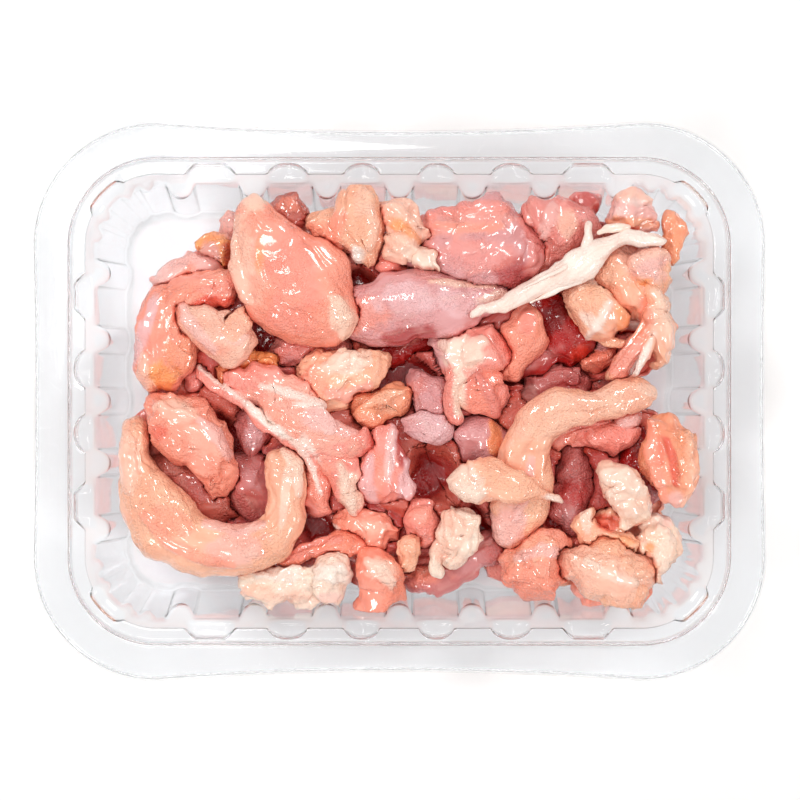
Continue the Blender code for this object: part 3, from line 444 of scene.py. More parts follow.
def flesh_material(name, fibres, knobs, marbling, crinkles, scatter, coat, reach):
    """Wet meat, fat or tendon: the shared detail, scattering under the skin and a coat of moisture."""
    under_skin = {"Subsurface Weight": scatter, "Subsurface Radius": reach, "Subsurface Scale": 0.0018}
    moisture = {"IOR": 1.42, "Coat Roughness": 0.08, "Coat IOR": 1.8}
    finish, tree, shader = new_material(name, under_skin | moisture)
    links = {
        "Tone": add(tree, "ShaderNodeAttribute", attribute_name="tone").outputs["Color"],
        "Grain": add(tree, "ShaderNodeAttribute", attribute_name="grain").outputs["Vector"],
        "Place": add(tree, "ShaderNodeTexCoord").outputs["Object"],
        "Fibres": fibres,
        "Knobs": knobs,
        "Marbling": marbling,
        "Crinkles": crinkles,
        "Wetness": coat,
    }
    detail = add(tree, "ShaderNodeGroup", node_tree=flesh)
    for socket, value in links.items():
        if isinstance(value, bpy.types.NodeSocket):
            tree.links.new(value, detail.inputs[socket])
        else:
            detail.inputs[socket].default_value = value
    relief_links = {"Height": detail.outputs["Height"], "Strength": 1.0, "Distance": 0.0006}
    bump = add(tree, "ShaderNodeBump", relief_links)
    tree.links.new(detail.outputs["Colour"], shader.inputs["Base Color"])
    tree.links.new(detail.outputs["Roughness"], shader.inputs["Roughness"])
    tree.links.new(detail.outputs["Coat"], shader.inputs["Coat Weight"])
    tree.links.new(bump.outputs["Normal"], shader.inputs["Normal"])
    return finish


FINISHES = {
    "muscle": flesh_material("lean_muscle", 0.3, 0.12, 0.08, 1.3, 0.0, 0.95, LEAN_REACH),
    "membrane": flesh_material("membraned_muscle", 0.2, 0.1, 0.15, 1.3, 0.0, 0.95, LEAN_REACH),
    "fat": flesh_material("white_fat", 0.2, 0.4, 0.1, 0.7, 0.1, 0.8, FAT_REACH),
    "tendon": flesh_material("tendon", 0.7, 0.1, 0.2, 0.5, 0.1, 0.6, FAT_REACH),
    "deep": flesh_material("deep_meat", 0.5, 0.3, 0.05, 0.8, 0.0, 0.5, LEAN_REACH),
}
print("finishes:", ", ".join(FINISHES))

# %% [markdown]
# ## The clear sheet
#
# Water-clear plastic bends light a little, and it would cast a full shadow on the meat if we let it.
# Rays on their way to a lamp pass straight through instead. The flange is peened with fine dots, and
# a slow unevenness lies over the whole sheet, as drawing a sheet over a mould leaves it.

# %% The plastic
CLEAR_SHEET = {
    "Roughness": 0.06,
    "Base Color": (0.895, 0.92, 0.945, 1.0),
    "Transmission Weight": 1.0,
    "IOR": 1.22,
    "Coat Weight": 0.7,
    "Coat Roughness": 0.05,
}
PASSING_LIGHT = (0.975, 0.983, 0.99, 1.0)


def plastic_material():
    """Clear sheet that bends light, lets lamps shine through to the meat, and has a peened flange."""
    finish, tree, shader = new_material("clear_sheet", CLEAR_SHEET)
    mask = add(tree, "ShaderNodeAttribute", attribute_name="tone").outputs["Fac"]
    place = add(tree, "ShaderNodeTexCoord").outputs["Object"]
    dots = maths(tree, "MULTIPLY", noise_node(tree, place, 1500.0, 1.0), mask)
    drawn = maths(tree, "MULTIPLY", noise_node(tree, place, 55.0, 1.0), 0.5)
    height = maths(tree, "ADD", dots, drawn)
    bump = add(tree, "ShaderNodeBump", {"Height": height, "Strength": 0.6, "Distance": 0.0003})
    tree.links.new(bump.outputs["Normal"], shader.inputs["Normal"])
    path = add(tree, "ShaderNodeLightPath").outputs["Is Shadow Ray"]
    through = add(tree, "ShaderNodeBsdfTransparent", {"Color": PASSING_LIGHT})
    blend = add(tree, "ShaderNodeMixShader", {0: path, 1: shader.outputs[0], 2: through.outputs[0]})
    tree.links.new(blend.outputs[0], tree.nodes["Material Output"].inputs["Surface"])
    return finish


print("the sheet bends light by", CLEAR_SHEET["IOR"])

# %% Put the tray in place
PEENED_FROM, PEENED_FADE = 30.5, 0.8
tray_points = tray_block[0]
core_x = np.maximum(np.abs(tray_points[:, 0]) - CORE_X, 0)
core_y = np.maximum(np.abs(tray_points[:, 1]) - CORE_Y, 0)
outwards = np.hypot(core_x, core_y)
peened = smooth_step((outwards - PEENED_FROM) / PEENED_FADE) * (tray_points[:, 2] > RIM_HEIGHT - 2)
tray_tone = np.stack([peened, peened, peened, np.ones(len(peened))], axis=1)
tray = new_piece("tray_clear", [tray_block], plastic_material(), colours=[tray_tone])
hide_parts("tray")
print("tray faces:", len(tray.data.polygons))

# %% [markdown]
# ## The spines of the pieces
#
# Every piece of meat lies where it does in the solids, so its spine is the same. A spine is a row of
# stations: x, y, the height of the middle, the half width and the half thickness, in millimetres.
# The rows run from the top of the heap down, each after a tone name that nothing below reads.

# %% The table of spines
HEAP = {
    "fillet_large": ("salmon", [
        [(-45.5, 64, 41, 4, 3), (-43, 55, 40, 8, 6), (-38.5, 45, 39, 13.5, 7.5), (-32, 36, 38.5, 16.5, 8),
         (-25, 27, 38, 13, 7.5), (-18, 16.5, 36.5, 7, 6)],
    ]),
    "tendon_band": ("cream", [
        [(84, 51.5, 38.5, 2.2, 2), (76, 51.5, 41, 2.6, 2.4), (68, 50, 43, 3.2, 2.8),
         (61.5, 46.5, 43.5, 4.6, 3), (56, 42, 43, 5, 3), (51, 38.8, 42.5, 4.2, 2.8), (45, 36, 42, 2.8, 2.2),
         (38, 32.5, 41.8, 2.3, 1.9), (31, 29.3, 42.2, 1.5, 1.5), (21, 26.5, 42.2, 1.1, 1.2)],
        [(59.6, 57, 41.5, 1.5, 1.6), (59.4, 51, 43.5, 1.6, 1.6), (59, 47, 43.5, 2, 1.8)],
    ]),
    "strip_crossing": ("peach", [
        [(16, -25, 40, 4, 3.5), (22, -25.5, 41.5, 6.6, 4), (30, -24.5, 43.5, 5.6, 3),
         (38, -26.8, 44, 4, 2.4), (45, -29.8, 42.5, 2, 1.8), (51, -31.2, 39.5, 1.2, 1.3)],
    ]),
    "strip_s": ("peach", [
        [(81, 2.5, 36.5, 3.4, 3), (72, 0.5, 38.5, 5.3, 4.8), (62, -1.2, 40, 5.7, 5.4),
         (52, -3.5, 40.5, 6.3, 5.6), (43, -8, 40, 7, 5.6), (39, -16, 38.5, 7.4, 5.6),
         (39.3, -24, 36.5, 7.9, 5), (37.5, -32, 35.5, 7.9, 5), (34, -39.5, 34.5, 6.2, 4.6),
         (30.5, -46, 33, 2.2, 3)],
    ]),
    "fillet_hooked": ("peach", [
        [(-84, -4.5, 32, 3.4, 5), (-84, -15, 34, 4.4, 7), (-82, -27, 36, 6.5, 8), (-76, -37, 37, 9.6, 8),
         (-66, -43.5, 37.5, 9.2, 7.5), (-55, -46.8, 37.5, 7.6, 7), (-44.5, -45.5, 38, 6.8, 7),
         (-37.5, -39, 38.5, 6, 6.5), (-35.2, -30, 39, 5.2, 6), (-34.8, -21, 38.5, 5.4, 5.5),
         (-33.5, -14.5, 37, 3.6, 4)],
    ]),
    "piece_right_tendon": ("salmon", [
        [(77, 48, 34.5, 5, 4), (78, 44.5, 36.5, 7, 4.5), (80, 39, 37, 5, 4.5), (82.5, 34, 36, 2.4, 3.5)],
        [(76, 37.5, 38, 3, 3.5), (80.5, 30, 38.5, 5.4, 5.5), (83, 22, 37.5, 4.4, 5.5),
         (82.5, 14, 36, 2.5, 4), (81, 9, 34.5, 1.3, 2)],
        [(80, 25.5, 38, 3, 4), (75.5, 19, 38.5, 4.5, 5), (71.3, 12, 37.8, 4.4, 5),
         (68.3, 5.8, 36, 2.5, 3.5)],
        [(79, 20.5, 42.2, 1.3, 1.5), (76.5, 13, 42.8, 1.6, 1.6), (72.2, 3.8, 42.2, 1.2, 1.4)],
    ]),
    "fat_blob_right": ("cream", [
        [(61.5, -26, 38.5, 3, 3), (68, -26.8, 40, 5.8, 5), (72.5, -32, 40, 5.2, 4.5),
         (75.5, -39.5, 38.5, 2.4, 2.6)],
    ]),
    "piece_folded_right": ("brick", [
        [(83, -4, 35.5, 5, 4), (84, -11, 37, 7.6, 5.5), (85.8, -19, 37.5, 8.8, 6),
         (87.3, -27, 37.8, 7, 5.5), (87.6, -33.8, 37.5, 3.2, 3)],
    ]),
    "lump_left": ("orange", [
        [(-79, -1.5, 35, 3.5, 4), (-72, -6, 36.5, 8.3, 6.5), (-63, -12, 37, 9.6, 7),
         (-56.8, -20, 35, 6.4, 6), (-54.5, -29, 31, 3.4, 5)],
    ]),
    "lobe_pale": ("peach", [
        [(-68.5, 28, 36.5, 2.6, 3), (-61, 23, 38.5, 6.3, 5), (-53, 19.5, 39, 8.2, 5.5),
         (-46.5, 23, 38.5, 5, 4.5)],
    ]),
    "bulge_right": ("salmon", [
        [(59.5, 41, 33, 4, 4), (61.3, 34, 36.5, 9, 7), (62.7, 27, 37, 7.4, 7), (65.3, 20, 35, 3, 4)],
        [(52.8, 31, 33, 1, 1.2), (58, 24, 34.5, 1.3, 1.3), (65.5, 19.3, 36.5, 1.4, 1.2),
         (74.5, 17, 36, 0.9, 1)],
    ]),
    "muscle_lens": ("mauve", [
        [(-16.5, 21, 33, 4.5, 4), (-7, 27, 36, 9.3, 5.5), (4, 31, 37, 10, 6), (14, 31.2, 37, 8.8, 5.5),
         (25, 31.8, 36.5, 5, 4.5), (36.5, 34, 34.5, 1.6, 2.5)],
    ]),
    "piece_peaked": ("peach", [
        [(-11, 68, 44, 2, 2), (-12, 62, 41.5, 5.3, 4), (-12.4, 55, 39, 7.4, 5), (-12.6, 49, 38.5, 5, 4),
         (-13.3, 44, 36.5, 1.6, 2.4)],
        [(-29, 53.8, 33, 2, 3), (-23.5, 55.5, 35.5, 4.6, 4.5), (-18.2, 52, 35, 4.6, 4.5),
         (-15.5, 46, 32, 2.4, 3)],
    ]),
    "curl_fatty": ("peach", [
        [(-8.5, 59.5, 37, 3, 3), (-3, 58.6, 38.5, 4.4, 4), (2.5, 55, 38, 4.6, 4), (6.5, 50.5, 37, 3, 3)],
        [(-4.5, 52, 38, 3.4, 3.4), (1, 48.8, 39.5, 4.4, 4), (6.5, 45.3, 40, 3, 3)],
        [(7, 48.8, 40, 2.4, 2.6), (9, 43.3, 41.5, 3.6, 3), (11.5, 38.2, 41.5, 2, 2.2)],
    ]),
    "slab_dark": ("mauve", [
        [(4, 56, 33.5, 3.6, 3.5), (13, 50.5, 35, 9.8, 5.5), (24, 49, 35.5, 11.6, 6),
         (34, 49.2, 35, 11.8, 6), (42.5, 52, 33, 7, 5)],
    ]),
    "slab_glossy": ("mauve", [
        [(53, 65, 35.5, 4.5, 3.5), (50.5, 57, 36, 7.6, 5), (47, 49, 35, 6.4, 5), (43.3, 40.3, 32, 2.6, 3)],
        [(53, 62.6, 33, 2.6, 3), (59.5, 62.8, 33.5, 3, 3.4), (65.2, 62, 33, 1.8, 2.4)],
    ]),
    "lump_round_pale": ("cream", [
        [(66.6, 61.5, 36, 3, 3), (73.5, 61.8, 38.5, 5.6, 4.5), (82, 59.3, 37, 3.3, 3.2)],
        [(65.2, 59.5, 33.5, 1.8, 2.4), (69, 56.4, 34.5, 2.8, 3), (75.5, 55, 35, 2.2, 3),
         (82, 56.3, 34, 2.6, 3)],
    ]),
    "fat_mass_low": ("cream", [
        [(19.6, -33.4, 36.5, 3.6, 3.4), (18.3, -39, 38.5, 4.4, 4), (18.3, -46, 37.5, 5.3, 4.5),
         (16, -52.8, 35.5, 2.2, 2.6)],
        [(16.5, -43.5, 37.5, 2.2, 2.4), (12, -47, 36.5, 2.1, 2.2), (12, -51, 36, 1.9, 2),
         (13.2, -54.6, 34.5, 1.2, 1.5)],
    ]),
    "piece_web": ("salmon", [
        [(-56.5, 8.5, 34.5, 2.2, 2.5), (-46.5, 5.3, 37, 4.3, 4), (-38.5, 0.5, 38, 7.6, 4.5),
         (-30, -6.5, 39, 7.6, 4.5), (-22, -11.3, 39.3, 6.3, 4), (-13.5, -13.2, 38.3, 3.8, 3.2),
         (-7.8, -13, 37, 2.3, 2.4)],
        [(-22.5, -13, 38, 4, 3.4), (-17.5, -21, 38.5, 5.4, 3.8), (-15.3, -29, 38, 3.6, 3.2),
         (-13.6, -36.5, 36.5, 1.5, 1.8)],
        [(-27, -11, 37.5, 4, 4), (-26, -22, 36, 4.6, 4), (-25, -30, 35, 5, 4), (-21.5, -36, 33, 2.6, 3)],
        [(-63.5, 11.3, 33, 0.9, 1), (-59, 6, 35, 1.2, 1.2), (-50.5, 1.2, 38.5, 1.4, 1.3),
         (-41.6, -7.4, 41, 1.8, 1.6), (-31, -11.5, 41, 1.6, 1.6)],
    ]),
    "piece_translucent": ("salmon", [
        [(6.5, 17, 32.5, 4, 4), (13, 15.8, 35.5, 7.2, 5), (20.5, 15.5, 36.5, 7.6, 5.5),
         (27, 18, 36, 5.8, 5), (32.5, 23, 34, 2.6, 3)],
        [(18, 14.5, 39.5, 4.6, 2.8), (18.7, 7.5, 38.8, 3, 3), (18.6, 0, 37.5, 1.9, 2.4),
         (19.6, -7.8, 35.5, 2, 2.2)],
        [(23.5, 13, 35, 4, 4.5), (26.2, 3.5, 35.5, 6.2, 5.5), (28, -5.8, 33.5, 4.6, 4.5)],
    ]),
    "oval_mauve": ("mauve", [
        [(1.3, -7.3, 36, 2.6, 3), (6, -8.6, 37, 4.8, 4), (11, -10.6, 36.5, 4.8, 4),
         (15.3, -12.5, 34.5, 2.6, 3)],
    ]),
    "piece_winged": ("salmon", [
        [(-1, -6, 36, 1.8, 2.5), (-3.4, -13, 36.5, 3.6, 4), (-4, -21, 35.8, 6.3, 4.5),
         (-3.4, -28, 35, 7.7, 5), (-3.2, -33.4, 33, 4.4, 4)],
    ]),
    "lump_ochre": ("orange", [
        [(-12.6, -6.5, 32, 3.4, 4), (-7, -2.6, 34.5, 5.3, 5), (-1, 0.2, 34.5, 4.4, 4.5),
         (4.6, 0.6, 33, 2.1, 3)],
    ]),
    "lump_fat_centre": ("orange", [
        [(-33, 8.3, 31.5, 2.8, 4), (-25, 6.6, 34.5, 5.6, 5), (-17, 6.3, 36, 6.6, 5.5),
         (-10.5, 9.8, 35.5, 5, 5), (-6.8, 16.5, 34, 2.4, 3)],
    ]),
    "strip_arched": ("orange", [
        [(-50, 36, 35, 4.8, 4), (-58, 35.4, 35.5, 5.4, 4.5), (-65.5, 32.4, 35, 6.2, 5),
         (-71, 26.4, 34.5, 7.2, 5.5), (-73.3, 18.5, 34, 8.2, 6), (-75, 10, 33.5, 6.8, 5.5),
         (-76.3, 2.6, 32, 3.3, 4)],
    ]),
    "fat_lumps": ("cream", [
        [(-49.5, -56.7, 31.5, 2.8, 3), (-41.5, -56.3, 33.5, 4.8, 4), (-33, -57.4, 35, 5, 4),
         (-25, -58, 36, 3.6, 3.6)],
        [(-30.5, -56.3, 35, 4.4, 4), (-22, -56.7, 37.5, 7.7, 5), (-13.6, -57.5, 35.5, 4.8, 4)],
        [(-34.5, -61, 33, 2.2, 2.6), (-27, -63, 33.5, 2.8, 2.8), (-19.5, -64, 33, 2, 2.2)],
    ]),
    "piece_fibrous": ("orange", [
        [(-12.5, -47, 35, 2.4, 3), (-6.7, -53, 36, 5, 4.4), (-5.6, -60, 35, 5.3, 4.4),
         (-10.5, -65.2, 34, 3.2, 3), (-15, -66.8, 33, 1.8, 2)],
        [(-41, -50.8, 32, 1.4, 2), (-34, -49.5, 33.5, 3, 3.4), (-26.5, -46.6, 34.5, 2.9, 3.4),
         (-18.5, -45.6, 35, 2.5, 3), (-11, -47.3, 34.5, 2, 2.4)],
    ]),
    "nugget_low": ("peach", [
        [(2.4, -43.4, 36, 2.1, 2.6), (1.7, -48.6, 37, 3.3, 3.4), (1.6, -54.4, 35, 1.5, 2)],
    ]),
    "lump_smooth": ("salmon", [
        [(0.6, -39.6, 33, 3.8, 4), (7, -38.4, 35, 6.6, 5.5), (13.5, -37.8, 34.5, 5.4, 5)],
    ]),
    "lump_crumbly": ("peach", [
        [(-20, -37.5, 31, 2.6, 3), (-13, -39.2, 32.8, 5.2, 4.5), (-7, -41.2, 32.5, 5.6, 4.5),
         (-0.6, -42.6, 30.5, 3, 3.4)],
    ]),
    "lump_bottom_pale": ("peach", [
        [(56, -48, 34, 3.8, 3.6), (64, -53.3, 37, 8.4, 5.5), (71.5, -56.3, 36.5, 7, 5),
         (79, -56, 34, 3.4, 3.4)],
    ]),
    "lump_bottom": ("salmon", [
        [(31, -56, 31.5, 3.8, 4), (39.5, -53.3, 34.5, 7.6, 6), (47, -51.6, 36, 9, 6.5),
         (55.5, -53.5, 34, 6.6, 5)],
    ]),
    "folds_orange": ("orange", [
        [(60, -34.6, 35.5, 2, 2.4), (58.8, -39, 35.5, 2.4, 3), (62.5, -43, 35.5, 3, 3.4),
         (69.5, -44.2, 36, 3.2, 3.6), (76.6, -43, 35, 2.6, 3)],
        [(61.8, -36, 31.5, 2.4, 3), (66, -38.8, 33, 3.2, 3.6), (71.5, -40.3, 34.5, 2.6, 3)],
    ]),
    "skin_right": ("cream", [
        [(83, -35.5, 32.5, 3.8, 3.4), (82, -42.5, 34, 4.7, 4), (80, -49.5, 33.5, 5, 4),
         (77.8, -58, 30.5, 3.2, 3.4)],
    ]),
    "oval_grey_mauve": ("mauve", [
        [(25.8, -5, 30.5, 4, 4), (25.3, -12, 32.5, 6.2, 5.5), (24.8, -20.5, 30.5, 4.8, 4.5)],
    ]),
    "piece_grey_pink": ("mauve", [
        [(1, 4.8, 31, 2.2, 3), (6, 3.4, 33, 4.2, 4.4), (12, 0.4, 33, 5.2, 4.8), (18.5, -3.4, 31, 4.2, 4)],
    ]),
    "lump_glossy": ("salmon", [
        [(41.5, 28.5, 34.5, 2.6, 3), (38.6, 20, 34.5, 4.4, 4.6), (35, 15, 33.5, 3.9, 4.2),
         (29.5, 9.8, 32, 2, 2.6)],
    ]),
    "lump_under_s": ("salmon", [
        [(46, -15.8, 30.5, 2.4, 3), (53, -12.6, 32.5, 4, 4.2), (60, -10.5, 32, 3.4, 3.8),
         (67, -10.5, 32, 3, 3.6)],
        [(65, -6.4, 31.5, 4.2, 4), (66.8, -13, 32.8, 6, 4.8), (68, -20.5, 31.5, 4.2, 4)],
        [(66.5, -7.5, 33.5, 2, 2.4), (73, -6.4, 35, 2.6, 2.8), (77.4, -5.4, 34.5, 1.6, 2)],
    ]),
    "strip_back_left": ("peach", [
        [(-58, 44, 31, 4, 3.6), (-66, 41, 31.8, 4.8, 4), (-73, 36, 31.5, 4.6, 4.2),
         (-76.6, 29.5, 30, 3, 3.4)],
    ]),
    "piece_back_left": ("orange", [
        [(-62.6, 45.5, 31.5, 3.6, 3.6), (-57.5, 48, 33, 5, 4.4), (-50, 47.5, 31.5, 4.6, 4)],
        [(-57, 53.4, 31.5, 2.8, 2.6), (-53, 56.2, 33, 3.6, 3), (-49, 59, 32, 2.6, 2.4)],
    ]),
    "piece_brown_back": ("brick", [
        [(-40.5, 61.2, 33, 2, 2.6), (-34, 60.3, 34.3, 4.4, 4), (-27, 57.5, 32.5, 3.4, 3.6)],
    ]),
    "nugget_orange": ("orange", [
        [(-59, 11, 31, 2.4, 3), (-51, 9.6, 32.5, 4, 4), (-45, 12.2, 32.5, 3.8, 4),
         (-43.3, 17.5, 31, 2.2, 3)],
    ]),
    "oval_small_left": ("mauve", [
        [(-70, 7, 30, 2, 2.2), (-65.4, 7.4, 31.2, 2.8, 3), (-60.5, 7.6, 30.5, 2, 2.4)],
    ]),
    "lump_small_top": ("peach", [
        [(-8, 43.4, 33, 2.2, 2.5), (-3, 43.9, 34, 2.7, 3.4), (2.5, 43.2, 33, 1.9, 2.5)],
    ]),
    "tail_speckled": ("mauve", [
        [(-43, 14.4, 28.5, 3.6, 3.6), (-34, 14.8, 30, 4.6, 4.2), (-25, 15.8, 30, 4.4, 4),
         (-15, 19, 29, 3.6, 3.6)],
    ]),
    "oval_left": ("mauve", [
        [(-46.5, -14.5, 27.5, 3.6, 3.6), (-45.6, -25, 28.5, 5.2, 4.6), (-44.8, -36, 27, 3.6, 3.6)],
        [(-47.4, 0.5, 29.5, 2.4, 2.6), (-45.8, -8, 31.3, 3.5, 3.2), (-45.2, -16.5, 30.5, 2.6, 2.6)],
    ]),
    "muscle_dark": ("deep", [
        [(45, 34, 26, 3, 3.4), (50, 26, 28, 6, 4.6), (54, 19, 28, 6, 4.6), (58.5, 12.6, 26, 2.8, 3.4)],
        [(33.5, 8, 27, 1.5, 2), (40, 11, 28, 2.2, 2.4), (46, 14.5, 28.8, 2.6, 2.6),
         (52, 18.5, 28.5, 2, 2.2)],
    ]),
    "piece_under_right": ("brick", [
        [(60, 18.5, 28.5, 3.6, 3.2), (63, 14.5, 29.6, 4.4, 3.8), (65.5, 8.5, 28, 2.6, 3)],
    ]),
    "oval_dark_right": ("mauve", [
        [(48.4, -22, 26.5, 4, 3.6), (55.5, -21.6, 28, 5.4, 4.4), (63, -20.5, 27, 3.6, 3.6)],
        [(53, -23, 27, 3.6, 3.4), (54.5, -32, 29, 4.4, 4), (56.2, -41, 29, 2.8, 3)],
    ]),
    "lump_dark_right": ("brick", [
        [(75, -9, 28, 2.4, 3), (76, -18, 29, 3.4, 3.6), (79.6, -26, 30, 3, 3.4), (79.4, -33.5, 29, 2, 2.6)],
    ]),
    "strip_mauve_low": ("mauve", [
        [(0.4, -57, 27.5, 1.8, 2.4), (8, -57, 29, 2.9, 3), (16, -55.3, 29.5, 3.2, 3.2),
         (23.5, -51, 29.8, 3.9, 3.4), (30.5, -46.6, 29, 3.8, 3.2), (37, -43.4, 27.5, 2, 2.4)],
    ]),
    "lump_orange_low": ("orange", [
        [(53.5, -58.5, 28, 2.6, 3), (63.5, -60.6, 29.2, 3.6, 3.4), (73, -60, 28.8, 3, 3),
         (80.5, -56, 27.5, 1.8, 2.2)],
    ]),
    "piece_low_back": ("salmon", [
        [(62, 53, 29.5, 2.6, 3), (68.5, 53, 30.5, 3, 3.2), (76, 53.5, 30, 2.2, 2.6)],
    ]),
    "sliver_right": ("orange", [
        [(84.2, 60, 33, 1.4, 1.8), (86.2, 54, 34, 2.5, 2.4), (84.6, 45, 33.5, 1.2, 1.6)],
    ]),
    "piece_in_hook": ("mauve", [
        [(-77.5, -17, 26.5, 3.6, 3.6), (-70, -24, 28, 5, 4.4), (-60, -30.5, 28, 5.2, 4.6),
         (-49.5, -35, 26.5, 3.6, 3.6)],
    ]),
    "piece_low_right": ("brick", [
        [(38.5, -0.5, 26, 3, 3), (46, 4, 27.4, 4.4, 3.8), (54.5, 6, 27.4, 4.4, 3.8), (61, 5.5, 26, 2.6, 3)],
    ]),
    "piece_low_edge": ("orange", [
        [(72, 38, 27, 2.6, 3), (72.4, 30, 28.4, 4.4, 4), (70.6, 21.5, 27.4, 3, 3.4)],
    ]),
    "lump_brown_centre": ("brick", [
        [(-7.5, 11, 26.5, 2.2, 2.6), (-3, 15.3, 28, 2.9, 3), (5, 20.6, 28, 3, 3), (10, 23.4, 27, 2, 2.4)],
    ]),
}
print("pieces:", len(HEAP), "lobes:", sum(len(spines) for slot, spines in HEAP.values()))

# %% [markdown]
# ## How a piece of meat is shaped
#
# A boned leg falls apart into long muscles, lumps of fat and tendons. Each of them is a lobe here: a
# bent spine with an elliptic section that closes to a round tip at both ends. The function that
# makes one takes two parameters, the place along the spine and the angle round it. Lobes that lie
# low are wider, because they spread under the weight of the others. Relief is then added along the
# surface's own normals: soft lumps, bundles of fibres along the piece, and a few creases.

# %% The lobe's smooth form
HIGH_MIDDLE, LOW_MIDDLE = 40.0, 30.0
WIDER_HIGH, WIDER_LOW, THICKER_LOW = 1.05, 1.3, 1.2
SPACING = 0.55
FEWEST_AND_MOST_RINGS, FEWEST_AND_MOST_ROUND = (18, 190), (20, 150)


def fuller(spine):
    """The stations with their half widths and thicknesses grown where they lie low."""
    rows = np.array(spine, float)
    low = smooth_step((HIGH_MIDDLE - rows[:, 2]) / (HIGH_MIDDLE - LOW_MIDDLE))
    rows[:, 3] *= WIDER_HIGH + (WIDER_LOW - WIDER_HIGH) * low
    rows[:, 4] *= 1 + (THICKER_LOW - 1) * low
    return rows


def along_spine(stations, places):
    """The cubic curve through the stations whose slopes are the mean slopes there, at places from 0 to 1."""
    chord = np.linalg.norm(np.diff(stations[:, :3], axis=0), axis=1)
    knots = np.concatenate([[0.0], np.cumsum(chord)])
    slope = np.gradient(stations, knots, axis=0)
    at = places * knots[-1]
    i = np.clip(np.searchsorted(knots, at, side="right") - 1, 0, len(chord) - 1)
    step = chord[i][:, None]
    t = ((at - knots[i]) / chord[i])[:, None]
    value = (
        (2 * t**3 - 3 * t**2 + 1) * stations[i]
        + (t**3 - 2 * t**2 + t) * step * slope[i]
        + (3 * t**2 - 2 * t**3) * stations[i + 1]
        + (t**3 - t**2) * step * slope[i + 1]
    )
    return value, at, knots[-1]


def lobe_form(stations, fullness):
    """Rings of a bent ellipsoid: cos and sin of the angle, raised to the fullness, times the half sizes."""
    length = np.linalg.norm(np.diff(stations[:, :3], axis=0), axis=1).sum()
    girth = np.pi * (stations[:, 3].max() + stations[:, 4].max())
    levels = int(np.clip(length / SPACING, *FEWEST_AND_MOST_RINGS))
    around = int(np.clip(girth / SPACING, *FEWEST_AND_MOST_ROUND))
    places = (1 - np.cos(np.pi * (np.arange(levels) + 0.35) / (levels - 0.3))) / 2
    row, at, length = along_spine(stations, places)
    ahead = along_spine(stations, np.minimum(places + 0.01, 1))[0][:, :2]
    behind = along_spine(stations, np.maximum(places - 0.01, 0))[0][:, :2]
    heading = (ahead - behind) / np.linalg.norm(ahead - behind, axis=1, keepdims=True)
    from_tip = np.minimum(at / stations[0, 3], (length - at) / stations[-1, 3])
    closing = np.sqrt(1 - (1 - np.clip(from_tip, 0.004, 1)) ** 2)
    angle = 2 * np.pi * np.arange(around) / around
    side = np.sign(np.cos(angle)) * np.abs(np.cos(angle)) ** fullness
    rise = np.sign(np.sin(angle)) * np.abs(np.sin(angle)) ** fullness
    across = (row[:, 3] * closing)[:, None] * side[None]
    up = (row[:, 4] * closing)[:, None] * rise[None]
    x = row[:, 0, None] + heading[:, 1, None] * across
    y = row[:, 1, None] - heading[:, 0, None] * across
    rings = np.stack([x, y, row[:, 2, None] + up], axis=2)
    girths = angle[None] * (row[:, 3] + row[:, 4])[:, None] / 2
    grain = np.stack([np.repeat(at[:, None], around, 1), girths, np.zeros_like(girths)], axis=2)
    return rings, grain, np.repeat(rise[None], levels, axis=0), closing


def ring_normals(rings):
    """The outward normal at each point: the cross product of the steps round and along the grid."""
    round_step = np.roll(rings, -1, axis=1) - np.roll(rings, 1, axis=1)
    along_step = np.gradient(rings, axis=0)
    normal = np.cross(along_step, round_step)
    return normal / np.maximum(np.linalg.norm(normal, axis=2, keepdims=True), 1e-9)


first_lobe = fuller(HEAP["fillet_large"][1][0])
print("rings of the first lobe, and points in each:", lobe_form(first_lobe, 1.0)[0].shape[:2])

# %% The relief on it
RELIEF = {
    "muscle": dict(lumps=1.2, folds=0.8, bundles=0.34, knobs=0.12, creases=2, crease_depth=0.9),
    "membrane": dict(lumps=0.9, folds=0.6, bundles=0.2, knobs=0.1, creases=1, crease_depth=0.6),
    "fat": dict(lumps=1.3, folds=0.9, bundles=0.1, knobs=0.6, creases=2, crease_depth=0.9),
    "tendon": dict(lumps=0.25, folds=0.15, bundles=0.3, knobs=0.05, creases=1, crease_depth=0.4),
    "deep": dict(lumps=1.2, folds=0.8, bundles=0.4, knobs=0.3, creases=2, crease_depth=0.8),
}
WARP_ALL, WARP_OWN, WARP_EDGE = 1.9, 2.4, 0.95
CELL_ALL, CELL_OWN, CELL_EDGE = 15.0, 9.0, 3.6
BUNDLE_SCALE = (0.11, 0.5, 1.0)
CREASE_HALF = 0.75


def warped(rings, size, seed, calm=1.0):
    """The plan pushed about by three noises: one that all pieces share, and two finer ones of its own."""
    scale = np.clip(size / 5.5, 0.15, 1.0)
    flat = rings * (1.0, 1.0, 0.35)
    shared = np.stack([noise(flat, CELL_ALL, 401), noise(flat, CELL_ALL, 402)], axis=-1)
    own = np.stack([rough_noise(flat, CELL_OWN, seed + k, 2) for k in (60, 70)], axis=-1)
    ragged = np.stack([rough_noise(flat, CELL_EDGE, seed + k, 2) for k in (80, 90)], axis=-1)
    moved = rings.copy()
    moved[..., :2] += WARP_ALL * scale * shared + WARP_OWN * scale * calm * own + WARP_EDGE * calm * ragged
    return moved


def valley(points, cell, width, seed):
    """A narrow groove where noise passes through zero: exp(-(noise / width)^2)."""
    value = rough_noise(points, cell, seed, 2) / width
    return np.exp(-value * value)


